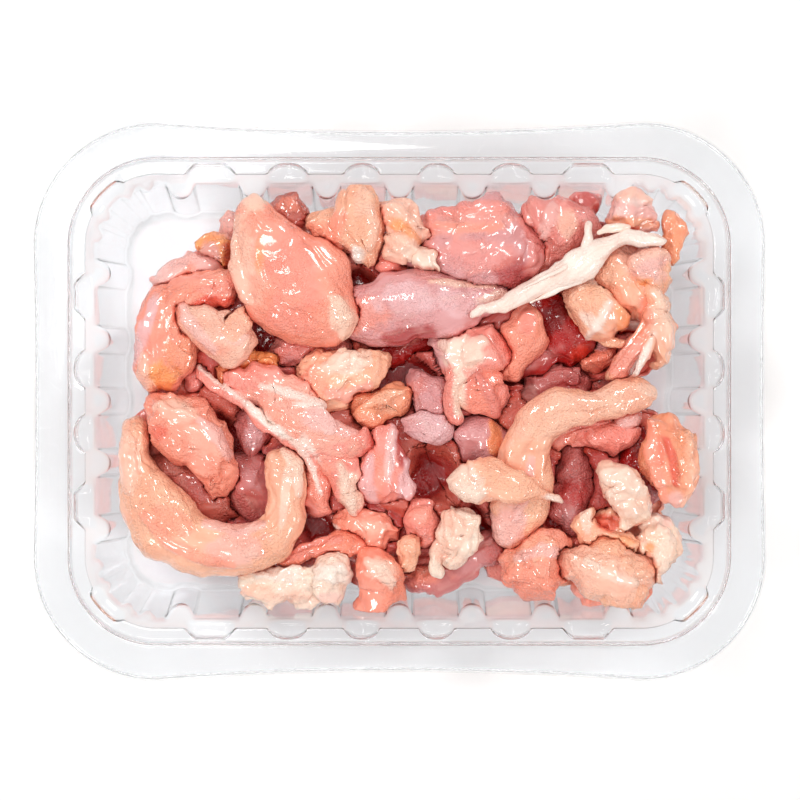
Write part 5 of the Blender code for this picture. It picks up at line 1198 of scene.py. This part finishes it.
# %% The finish, ground tone and patches of each piece
LOOKS = {
    "fillet_large": ("muscle", "salmon", [
        # The narrow orange strip at (-43.5, 46) is painted shade in the crease beside the pale flap.
        (-49, 46, 16, 4, 92, "pale", 0.85), (-43.5, 46, 7, 1.6, 88, "orange", 0.75),
        (-45, 35, 7, 5, 60, "pale", 0.45), (-34, 43, 16, 9, -60, "pink", 0.5),
        (-17, 25, 9, 4, 110, "cream", 0.8), (-45, 63, 3.5, 3.5, 0, "cream", 0.85),
        (-34, 26, 8, 6, 0, "pink", 0.4)]),
    "tendon_band": ("tendon", "white", [
        (68, 49, 10, 2, 10, "white", 0.6), (45, 36, 8, 1, 25, "white", 0.5)]),
    "strip_crossing": ("muscle", "peach", [
        (20, -26, 7, 7, 0, "fat", 0.85), (50, -31, 6, 1.6, -10, "white", 0.7)]),
    "strip_s": ("muscle", "peach", [
        (56, -4, 34, 9, 5, "pale", 0.5), (33.5, -40, 8, 7, 60, "blush", 0.85),
        (60, 1, 14, 2, 8, "pale", 0.4)]),
    "fillet_hooked": ("muscle", "peach", [
        (-84, -18, 9, 3, 88, "pale", 0.7), (-51, -46, 10, 5.5, 5, "blush", 0.6),
        (-35.5, -28, 12, 1.6, 84, "fat", 0.7), (-71, -38, 9, 4, -35, "salmon", 0.45)]),
    "piece_right_tendon": ("muscle", "peach", [
        (77, 45, 9, 8, 0, "blush", 0.9), (76, 37, 4, 1.4, 20, "orange", 0.85),
        (82, 26, 9, 4, 80, "cream", 0.6), (72, 13, 9, 5, 62, "pink", 0.8),
        (75.5, 12, 10, 1.3, 64, "white", 0.9)]),
    "fat_blob_right": ("fat", "cream", [(70, -27, 6, 6, 0, "fat", 0.5)]),
    "piece_folded_right": ("muscle", "ochre", [
        (82, -20, 9, 5, 84, "salmon", 0.5), (92, -18, 10, 2.6, 84, "peach", 0.85),
        (87.5, -32, 5.5, 4, 0, "blush", 0.8), (82, -14, 7, 2, 80, "red", 0.4)]),
    # The small red patch at (-76, -10) is painted shade in a crease.
    "lump_left": ("muscle", "salmon", [
        (-70, -3, 7, 4, -35, "pale", 0.7), (-76, -10, 3.4, 3, 0, "red", 0.5),
        (-62, -12, 7, 4.5, -45, "pale", 0.45)]),
    "lobe_pale": ("membrane", "pale", [
        (-60, 17, 7, 2.6, -10, "salmon", 0.5), (-52, 22, 5, 4, 0, "blush", 0.5)]),
    "bulge_right": ("membrane", "peach", [
        (64, 38, 5, 3, 0, "fat", 0.8), (68, 41, 5, 3, 0, "orange", 0.5),
        (60, 25, 5, 2, -40, "white", 0.6)]),
    "muscle_lens": ("membrane", "mauve", [
        (-9, 27, 8, 6, 10, "salmon", 0.55), (4, 32, 11, 6, 5, "lilac", 0.85),
        (21, 31, 9, 4, 0, "lilac", 0.7), (3, 21, 9, 3.2, 12, "wine", 0.8),
        (31, 33, 6, 2, 10, "cream", 0.6)]),
    "piece_peaked": ("muscle", "peach", [
        (-13.5, 45.5, 3.4, 2.6, 0, "white", 0.7), (-24, 53, 6.5, 4, 0, "clay", 0.65),
        (-18.5, 45, 6, 4, -40, "wine", 0.75), (-11, 63, 6, 3.4, 90, "pale", 0.55)]),
    "curl_fatty": ("fat", "pale", [
        (0.5, 55.5, 4.6, 2, -20, "orange", 0.8), (9, 43.3, 6.5, 4.2, 120, "fat", 0.95),
        (-5, 58, 4, 3, 0, "salmon", 0.5)]),
    "slab_dark": ("muscle", "mauve", [
        (14, 50, 9, 8, 0, "rose", 0.6), (24, 50, 22, 8, 0, "mauve", 0.55),
        (21, 56.5, 16, 4.5, 3, "salmon", 0.5), (37, 40, 7, 5, 0, "wine", 0.75),
        (24, 46, 12, 5, 0, "pink", 0.5), (16, 43, 5, 4, 0, "mauve", 0.5)]),
    "slab_glossy": ("membrane", "rose", [
        (53, 56, 5, 3.6, 60, "pale", 0.75), (60, 63, 6.5, 3, 0, "wine", 0.7),
        (59, 58.4, 3, 2, 0, "lilac", 0.85), (44, 45, 5, 3, 60, "clay", 0.5)]),
    "lump_round_pale": ("fat", "blush", [
        (73, 56, 10, 2.6, 0, "orange", 0.6), (72, 54.2, 4, 1, 0, "red", 0.7),
        (75, 63.5, 5, 2.6, 0, "white", 0.45)]),
    "fat_mass_low": ("fat", "fat", [(13, -47, 3, 5, 0, "pale", 0.7)]),
    "piece_web": ("membrane", "pink", [
        (-31, -5, 20, 9, -38, "pale", 0.5), (-42, -6, 11, 1.9, -41, "white", 0.95),
        (-26.5, -2, 9.5, 1.2, -12, "white", 0.85), (-25, -6, 6, 3.6, -20, "blush", 0.8),
        (-16.5, -7, 4.5, 4, 0, "blush", 0.75), (-28.5, -14, 8, 1.1, -56, "white", 0.8),
        (-15.2, -29, 9, 4, 106, "cream", 0.85), (-25, -27, 9, 4.4, 90, "salmon", 0.6),
        (-57, 6, 9, 1, -38, "white", 0.8)]),
    "piece_translucent": ("membrane", "pink", [
        (12, 16, 8, 6, 0, "lilac", 0.75), (20.5, 14, 6.5, 5, 0, "fat", 0.95),
        (18.7, 1, 10, 2.6, 88, "fat", 0.95), (27, 2, 9, 6, 80, "clay", 0.6)]),
    "oval_mauve": ("membrane", "lilac", [(4, -8, 3, 3, 0, "mauve", 0.5)]),
    "piece_winged": ("membrane", "pink", [
        (-2.6, -14, 10, 1.7, 86, "lilac", 0.95), (2, -15, 7, 3, 90, "wine", 0.85),
        (2.6, -26, 5.5, 3, 80, "lilac", 0.75), (-8, -25, 9, 4, 80, "clay", 0.55)]),
    "lump_ochre": ("muscle", "ochre", [(-3, 0, 5, 3, 20, "peach", 0.65), (-10, -6, 4, 3, 0, "clay", 0.5)]),
    "lump_fat_centre": ("fat", "peach", [
        (-16, 11.5, 6, 4, 10, "fat", 0.95), (-27, 5, 6, 4, 0, "salmon", 0.6)]),
    "strip_arched": ("muscle", "salmon", [
        (-59, 36.5, 9, 3, -12, "pink", 0.5), (-57, 30.5, 10, 2.4, 0, "red", 0.8),
        (-75.5, 7, 6, 5, 70, "orange", 0.95), (-80, 24, 13, 2.2, 72, "lilac", 0.8),
        (-69, 15, 7, 5, 60, "ochre", 0.55)]),
    "fat_lumps": ("fat", "fat", [(-34, -61.5, 6, 2, 0, "pale", 0.6), (-22, -62, 5, 2, 0, "blush", 0.5)]),
    "piece_fibrous": ("muscle", "clay", [
        (-6.5, -52.5, 4.8, 3.6, 0, "cream", 0.8), (-8, -61, 7, 5, 60, "salmon", 0.7),
        (-30, -48.5, 11, 1.2, 10, "pink", 0.6)]),
    "nugget_low": ("fat", "peach", []),
    "lump_smooth": ("membrane", "pink", [(7, -36, 5, 3, 0, "salmon", 0.5)]),
    "lump_crumbly": ("fat", "salmon", [
        (-20.7, -41.5, 2.6, 2, 0, "white", 0.9), (-8, -40, 5, 2.4, 0, "pale", 0.6)]),
    "lump_bottom_pale": ("membrane", "peach", [
        (56, -53, 6, 7, 0, "salmon", 0.45), (70, -50, 6, 3, 0, "peach", 0.6)]),
    "lump_bottom": ("muscle", "salmon", [(42, -47, 10, 4, 20, "peach", 0.5)]),
    "folds_orange": ("fat", "peach", [
        (59, -37, 4.5, 2, 90, "fat", 0.9), (66, -38.6, 4.6, 3, 0, "red", 0.75),
        (70, -44, 5, 2, 0, "orange", 0.5)]),
    "skin_right": ("fat", "cream", [
        (79, -46, 2.4, 1.5, 60, "orange", 0.8), (80, -52, 2.2, 1.6, 0, "orange", 0.7),
        (84, -38, 4, 3, 0, "blush", 0.5)]),
    "oval_grey_mauve": ("membrane", "mauve", [
        (30.5, -12, 7, 2.4, 90, "orange", 0.8), (22, -14, 4, 4, 0, "dusk", 0.35)]),
    "piece_grey_pink": ("membrane", "mauve", [(5, 4, 4, 3, 0, "rose", 0.6)]),
    "lump_glossy": ("muscle", "salmon", [(40, 24, 4, 3, 60, "pink", 0.6)]),
    "lump_under_s": ("muscle", "pink", [
        (73, -6.5, 6, 2.2, 5, "blush", 0.95), (52, -13, 6, 3, 20, "clay", 0.5)]),
    "strip_back_left": ("membrane", "blush", [(-70, 38, 9, 2.4, 40, "salmon", 0.75)]),
    "piece_back_left": ("muscle", "orange", [
        (-60.5, 45, 4, 5, 0, "mauve", 0.75), (-53.5, 46, 2.2, 5, 0, "wine", 0.75),
        (-53, 56.5, 6, 4, 30, "blush", 0.95)]),
    "piece_brown_back": ("muscle", "brown", [
        (-35, 62, 4.5, 2.6, 0, "salmon", 0.6), (-29, 56, 4, 3, 0, "wine", 0.6)]),
    "nugget_orange": ("muscle", "orange", [(-57, 9, 3, 3, 0, "clay", 0.6)]),
    "oval_small_left": ("membrane", "rose", []),
    "lump_small_top": ("fat", "pink", []),
    "tail_speckled": ("muscle", "rose", [(-30, 13, 8, 2, 5, "mauve", 0.5)]),
    "oval_left": ("membrane", "dusk", [
        (-45.6, -8, 8, 3, 88, "lilac", 0.6), (-45, -24, 5, 4, 80, "mauve", 0.4)]),
    # The dark red patch at (49, 26) is painted shade at the bottom of the deep gap there, over the meat's own
    # dark red.
    "muscle_dark": ("deep", "wine", [
        (49, 26, 7, 4.5, 60, "shaded_dark_red", 0.8), (43, 13.2, 10, 3, 22, "dusk", 0.9),
        (57, 15, 3, 3, 0, "red", 0.6)]),
    "piece_under_right": ("muscle", "clay", [(63.5, 17.6, 4.4, 1.6, -15, "lilac", 0.85)]),
    "oval_dark_right": ("membrane", "dusk", [
        (56, -29, 6, 4.6, 0, "wine", 0.7), (54.5, -38, 4.6, 3.4, 80, "mauve", 0.8)]),
    "lump_dark_right": ("muscle", "wine", [
        (79, -31, 4.6, 4, 0, "mauve", 0.7), (76, -14, 3, 4, 0, "dusk", 0.5)]),
    "strip_mauve_low": ("membrane", "dusk", [
        (8.5, -55, 7, 3.4, 0, "clay", 0.7), (24, -51, 6, 3, 30, "mauve", 0.5)]),
    "lump_orange_low": ("muscle", "clay", [(66, -61, 6, 2.4, 0, "ochre", 0.6)]),
    "piece_low_back": ("muscle", "clay", []),
    "sliver_right": ("fat", "ochre", []),
    "piece_in_hook": ("membrane", "brown", [(-66, -27, 7, 3, -35, "dusk", 0.6)]),
    "piece_low_right": ("deep", "dusk", [
        (41, 2.7, 3.4, 2, 30, "blush", 0.8), (54, 5, 6, 3, 0, "wine", 0.6)]),
    # The red ground and the dark red patch are painted shade in the hollow by the wall, over the meat's own
    # red.
    "piece_low_edge": ("deep", "red", [
        (73.5, 24.6, 4, 2, 0, "white", 0.85), (71, 33, 4, 4, 0, "shaded_dark_red", 0.5)]),
    "lump_brown_centre": ("deep", "wine", [(3, 20, 5, 2.4, 30, "brown", 0.6)]),
}
print("pieces with a look:", len(LOOKS), "same as in the heap:", set(LOOKS) == set(HEAP))

# %% How a place on a piece gets its colour
PATCH_END, PATCH_FADE = 1.15, 0.45
DRIFT, DRIFT_SHARES = 0.10, (0.6, 1.0, 1.0)
# Painted shade: how much darker and redder a surface gets where it turns under and where another piece covers
# it.
SHADE_WHERE_TURNED, SHADE_WHERE_COVERED = (0.10, 0.42, 0.46), (0.04, 0.34, 0.38)
FOLD_REACH, FOLD_RISE, FOLD_TONE = 1.5, 0.75, 0.7


def beside(rings, spine):
    """The plan distance to the spine's line, as a share of its half width there, and its thickness."""
    stations = np.array(spine, float)
    nearest = np.full(rings.shape[:2], 99.0)
    thickness = np.zeros(rings.shape[:2])
    for before, after in zip(stations, stations[1:]):
        step = after[:2] - before[:2]
        t = np.clip(((rings[..., :2] - before[:2]) @ step) / (step @ step), 0, 1)[..., None]
        here = before + t * (after - before)
        share = np.linalg.norm(rings[..., :2] - here[..., :2], axis=2) / here[..., 3]
        thickness = np.where(share < nearest, here[..., 4], thickness)
        nearest = np.minimum(nearest, share)
    return nearest, thickness


def folded(rings, rise, spine, seed):
    """How far a fold lifts the skin, and its share of tone: both end at a frayed edge beside its spine."""
    nearest, thickness = beside(rings, spine)
    fray = 0.3 * rough_noise(rings, 2.6, seed + 15, 2)
    edge = np.clip(1 - ((nearest + fray) / FOLD_REACH) ** 2, 0, 1)
    above = smooth_step((rise + 0.1) / 0.4)
    return FOLD_RISE * thickness * edge**0.7 * above, smooth_step(edge / 0.5) * above


def toned(rings, rise, room, ground, patches, folds, seed):
    """The ground tone with a slow drift, each patch and fold, then painted shade, redder under itself and
    under others.
    """
    drift = rough_noise(rings, 9.0, seed + 20, 2)[..., None]
    colour = LIGHT[ground] * (1 + DRIFT * drift * DRIFT_SHARES)
    fray = 0.35 * rough_noise(rings, 3.5, seed + 30, 3)
    for *ellipse, tone, strength in patches:
        weight = strength * smooth_step((PATCH_END - in_ellipse(rings, *ellipse) + fray) / PATCH_FADE)
        colour = colour + weight[..., None] * (LIGHT[tone] - colour)
    for share, tone in folds:
        colour = colour + FOLD_TONE * share[..., None] * (LIGHT[tone] - colour)
    # Painted shade: darker and redder where the surface turns under and where another piece lies close above.
    painted_turn_shade = smooth_step((0.2 - rise) / 0.9)[..., None]
    covered = 1 - smooth_step((room - 0.3) / 2.2)[..., None]
    colour = colour * (1 - painted_turn_shade * SHADE_WHERE_TURNED) * (1 - covered * SHADE_WHERE_COVERED)
    return np.concatenate([np.clip(colour, 0, 1), np.ones(colour.shape[:2] + (1,))], axis=2)


print("a patch fades over", PATCH_FADE, "of its reach, a fold reaches", FOLD_REACH, "half widths")

# %% [markdown]
# ## Laying the heap
#
# Everything is ready, so the pieces are now made one by one, from the top of the heap down. A piece
# of several lobes keeps them as closed shapes that run into each other, as folds of one muscle do.

# %% Make every piece
FULLNESS = {"muscle": 0.92, "membrane": 0.95, "fat": 0.88, "tendon": 1.0, "deep": 0.95}
SPREAD = 0.3
FOLD_WIDEST = 3.5
STRANDS = ("tendon_band",)
SMOOTH = {
    "fillet_large": 0.45, "fillet_hooked": 0.5, "strip_s": 0.5, "muscle_lens": 0.5,
    "tendon_band": 0.6, "bulge_right": 0.6, "lobe_pale": 0.7, "strip_crossing": 0.8,
}
STRAND_PATCH = (40, 40, 0)
STRAND_TONE = 0.65
GRAIN_APART = 3.7


def make_piece(name, spines, number):
    """The lobes of one piece with relief, pressed under what lies above, as one object."""
    kind, ground, patches = LOOKS[name]
    blocks, colours, grains, laid = [], [], [], []
    calm = SMOOTH.get(name, 1.0)
    spread_out = (1, 1, 1, 1.0 + SPREAD * number / len(HEAP), 1)
    lobes = [(ground, patches, fuller(spine) * spread_out) for spine in spines]
    folds = []
    for tone, spine in EXTRAS.get(name, ()):
        if name in STRANDS or max(row[3] for row in spine) > FOLD_WIDEST:
            patch = (*spine[1][:2], *STRAND_PATCH, tone, STRAND_TONE)
            lobes.append((ground, patches + [patch], np.array(spine, float)))
        else:
            folds.append((tone, spine))
    for part, (ground, patches, stations) in enumerate(lobes):
        seed = 17 * number + 3 * part + 1
        size = stations[:, 3].max()
        rings, grain, rise, closing = lobe_form(stations, FULLNESS[kind])
        rings = warped(rings, size, seed, calm)
        moved = calm * relief(rings, grain, size, seed, **RELIEF[kind]) * closing[:, None]
        lifts = [folded(rings, rise, spine, seed) for _, spine in folds]
        moved = moved + sum(lift for lift, _ in lifts)
        rings = rings + ring_normals(rings) * moved[..., None]
        rings = inside_wall(pressed(rings, rise))
        room = map_height(rings) - rings[..., 2]
        laid.append((rings, rise))
        shares = [(share, tone) for (_, share), (tone, _) in zip(lifts, folds)]
        blocks.append(closed_surface(rings))
        colours.append(with_ends(toned(rings, rise, room, ground, patches, shares, seed)))
        grains.append(with_ends(grain + (0, 0, GRAIN_APART * seed)))
    for rings, rise in laid:
        lay(rings, rise)
    piece = new_piece(name + "_flesh", blocks, FINISHES[kind], colours, grains)
    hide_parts(name)
    return sum(len(block[0]) for block in blocks)


total = 0
for number, (name, (slot, spines)) in enumerate(HEAP.items()):
    total += make_piece(name, spines, number)
print("points in the heap:", total)

# %% [markdown]
# ## The meat underneath
#
# Between the pieces that lie on top, the picture shows more meat, and deep red where the heap is
# open further down. The clear wall shows the sides of the lowest pieces. So a block of packed lumps
# fills the tray under the pieces that are seen. Its plan follows the heap, its top stays under the
# map and dips at the deep gaps, and its lumps are cells round scattered middles, each bulging like a
# cushion with a crease between it and the next.

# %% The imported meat's sizes
BED_X, BED_Y, BED_SQUARE = 86.0, 58.8, 9.0
BED_TOP, BED_EDGE, BED_FLOOR = 36.5, 27.0, 1.4
BED_RINGS, BED_ROUND, BED_SIDE = 96, 480, 34
LUMP_SIZE, LUMP_COUNT, LUMP_SHAPE = 12.0, 230, (0.7, 0.8, 1.5)
BED_SHOULDER, BED_TAPER = 0.72, 0.045
BED_SWELL, BED_SINK, BED_ROUGH = 3.0, 2.2, 0.5
GAPS = (
    (-43, 20, 4, 9, -10), (-55, -12, 5, 10, 30), (-46, -34, 6, 4, 0), (-27, -40, 8, 4, -20),
    (-1, 8, 10, 6, 0), (11, -24, 6, 7, 0), (26.5, -39, 3, 6, 0), (47, 27, 5, 7, 40),
    (47, -38, 4, 5, 0), (-13.5, 39.5, 3, 2.5, 0), (36, 8, 6, 3, 20), (-34, 18, 5, 4, 0),
)
GAP_DEPTH, GAP_END, GAP_FADE = 10.0, 1.5, 0.8
# CREASE_SHADE is painted shade in the creases between the lumps.
CREASE_WIDTH, CREASE_SHADE = 3.2, (0.12, 0.5, 0.55)
# The darkened wine, and its share on the top, are painted shade over the meat's own dark red.
SHADED_WINE_SHARES, PINK_SHARE, TOP_SHADE_SHARE = (0.85, 0.5, 0.5), 0.6, 0.6
SHADES = ("salmon", "rose", "pink", "dusk", "salmon", "clay", "mauve", "rose", "peach", "pink")


def bed_plan(count):
    """The heap's outline in this many directions: the furthest covered cell, smoothed, off the walls."""
    angle = 2 * np.pi * np.arange(count) / count
    square = np.abs(np.cos(angle)) ** BED_SQUARE + np.abs(np.sin(angle)) ** BED_SQUARE
    room = square ** (-1 / BED_SQUARE)
    edge = np.stack([BED_X * room * np.cos(angle), BED_Y * room * np.sin(angle)], axis=1)
    facing = edge / np.linalg.norm(edge, axis=1, keepdims=True)
    i, j = np.nonzero(ceiling < EMPTY)
    covered = np.stack([i * CELL - MAP_HALF[0], j * CELL - MAP_HALF[1]], axis=1)
    forward = covered @ facing.T
    sideways = np.abs(covered @ np.stack([-facing[:, 1], facing[:, 0]]))
    reach = np.where(sideways < 2.0, forward, 0).max(axis=0) - 2.5
    reach = np.minimum(reach, np.linalg.norm(edge, axis=1))
    window = np.hanning(19) / np.hanning(19).sum()
    smoothed = np.convolve(np.concatenate([reach[-9:], reach, reach[:9]]), window, "valid")
    return facing * np.minimum(reach, smoothed)[:, None]


def deep_gaps(points):
    """How deep a place lies in one of the heap's gaps, from 0 to 1: the greatest of their soft ellipses."""
    depth = np.zeros(points.shape[:-1])
    for gap in GAPS:
        depth = np.maximum(depth, smooth_step((GAP_END - in_ellipse(points, *gap)) / GAP_FADE))
    return depth


def lumps_at(points, seed):
    """From the distance d to the nearest middle: the bulge 1 - (d / size)^2, its number, the crease."""
    middles = np.random.default_rng(seed).uniform((-90, -62, 0), (90, 62, 36), (LUMP_COUNT, 3)) * LUMP_SHAPE
    flat = points.reshape(-1, 3) * LUMP_SHAPE
    nearest = np.zeros(len(flat), int)
    ordered = np.zeros((len(flat), 2))
    for start in range(0, len(flat), 8000):
        away = np.linalg.norm(flat[start : start + 8000, None] - middles[None], axis=2)
        nearest[start : start + 8000] = away.argmin(axis=1)
        ordered[start : start + 8000] = np.partition(away, 1, axis=1)[:, :2]
    crease = smooth_step((ordered[:, 1] - ordered[:, 0]) / CREASE_WIDTH)
    bulge = np.clip(1 - (ordered[:, 0] / LUMP_SIZE) ** 2, 0, 1) * crease
    return (values.reshape(points.shape[:2]) for values in (bulge, nearest, crease))


print("gaps:", len(GAPS), "lumps:", LUMP_COUNT)

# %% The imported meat's shape
plan = bed_plan(BED_ROUND)
out = np.linspace(0.01, 1.0, BED_RINGS)
top = out[:, None, None] * plan[None]
depth = deep_gaps(warped(np.dstack([top, np.zeros(top.shape[:2])]), 9.0, 31)[..., :2])
shoulder = smooth_step((out[:, None] - BED_SHOULDER) / (1 - BED_SHOULDER))
top_height = BED_TOP - (BED_TOP - BED_EDGE) * shoulder - GAP_DEPTH * depth
down = np.linspace(0, 1, BED_SIDE + 1)[1:]
side = plan[None] * (1 - BED_TAPER * down)[:, None, None]
side_height = np.repeat((BED_EDGE + (BED_FLOOR - BED_EDGE) * down)[:, None], BED_ROUND, axis=1)
bed = np.concatenate([np.dstack([top, top_height]), np.dstack([side, side_height])])
bulge, lump, crease = lumps_at(warped(bed, 12.0, 5), 11)
no_side = np.zeros((BED_SIDE, BED_ROUND))
inner = np.concatenate([depth, no_side])
swell = BED_SWELL * bulge - BED_SINK + BED_ROUGH * rough_noise(bed, 4.0, 3, 3)
swell = swell * (1 - 0.9 * inner)
bed = bed + ring_normals(bed) * swell[..., None]
bed[..., 2] = np.clip(np.minimum(bed[..., 2], map_height(bed) - 0.4), BED_FLOOR, None)
bed = inside_wall(bed)
print("bed heights in mm:", round(bed[..., 2].min(), 1), "to", round(bed[..., 2].max(), 1))

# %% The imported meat's colours, and its piece
shade = np.array([LIGHT[tone] for tone in SHADES])[lump % len(SHADES)]
blend = 0.5 + 0.5 * rough_noise(bed, 14.0, 21, 3)[..., None]
shade = shade * (1 - PINK_SHARE * blend) + LIGHT["pink"] * PINK_SHARE * blend
# Painted shade: darker and redder in the creases between the lumps.
colour = shade * (1 - (1 - crease)[..., None] * CREASE_SHADE)
# Painted shade over the meat's own dark red: the top, where it shows between the pieces, and most of all the
# deep gaps go toward a darkened wine.
top_shade = TOP_SHADE_SHARE * smooth_step((0.95 - out[:, None]) / 0.2) * np.ones_like(depth)
shown = np.concatenate([top_shade, no_side])
colour = colour + np.maximum(inner, shown)[..., None] * (LIGHT["wine"] * SHADED_WINE_SHARES - colour)
colour = np.concatenate([colour, np.ones(colour.shape[:2] + (1,))], axis=2)
along = np.cumsum(np.linalg.norm(np.diff(bed, axis=0, prepend=bed[:1]), axis=2), axis=0)
grain = np.stack([along, np.broadcast_to(np.arange(BED_ROUND), along.shape), lump * 3.1], axis=2)

surface, finish = [closed_surface(bed)], FINISHES["deep"]
packed = new_piece("meat_bed_flesh", surface, finish, [with_ends(colour)], [with_ends(grain)])
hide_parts("meat_bed")
print("faces of the packed meat:", len(packed.data.polygons))

# %% [markdown]
# ## Floor and light
#
# The picture is bright and nearly without shadow: soft light comes from all round, and a few smaller
# lamps make the short white glints on the wet meat. The floor is plain and white.

# %% Floor, world and lamps
FLOOR_HALF, FLOOR_WHITE = 3.0, 0.875
WORLD_LIGHT = 0.51
LAMP_COLOUR = (1.0, 0.975, 0.95)
LAMPS = {
    "left_back": ((-0.56, 0.40, 0.66), 0.21, 2.2),
    "left_front": ((-0.46, -0.46, 0.70), 0.19, 1.8),
    "right_back": ((0.44, 0.56, 0.72), 0.20, 1.9),
    "right_front": ((0.60, -0.32, 0.66), 0.20, 1.7),
    "overhead": ((-0.12, 0.16, 1.05), 0.20, 1.2),
}


def floor_material():
    """A plain, nearly white, dull floor."""
    return new_material("pale_floor", {"Base Color": (FLOOR_WHITE,) * 3 + (1.0,), "Roughness": 0.9})[0]


floor_mesh = bpy.data.meshes.new("floor")
corners = [(x * FLOOR_HALF, y * FLOOR_HALF, 0) for x, y in ((-1, -1), (1, -1), (1, 1), (-1, 1))]
floor_mesh.from_pydata(corners, [], [(0, 1, 2, 3)])
floor_mesh.materials.append(floor_material())
floor = bpy.data.objects.new("floor", floor_mesh)
floor.location = (0, 0, -0.0002)
bpy.context.scene.collection.objects.link(floor)

world = bpy.data.worlds.new("studio")
world.use_nodes = True
world.node_tree.nodes["Background"].inputs[0].default_value = (1.0, 1.0, 1.0, 1.0)
world.node_tree.nodes["Background"].inputs[1].default_value = WORLD_LIGHT
bpy.context.scene.world = world


def lamp(name, place, size, watts):
    """A square soft lamp that faces the middle of the heap."""
    data = bpy.data.lights.new(name, "AREA")
    data.size, data.energy, data.color = size, watts, LAMP_COLOUR
    obj = bpy.data.objects.new(name, data)
    obj.location = place
    obj.rotation_euler = (Vector((0, 0, 0.04)) - Vector(place)).to_track_quat("-Z", "Y").to_euler()
    bpy.context.scene.collection.objects.link(obj)


for name, (place, size, watts) in LAMPS.items():
    lamp(name, place, size, watts)
print("lamps:", len(LAMPS))
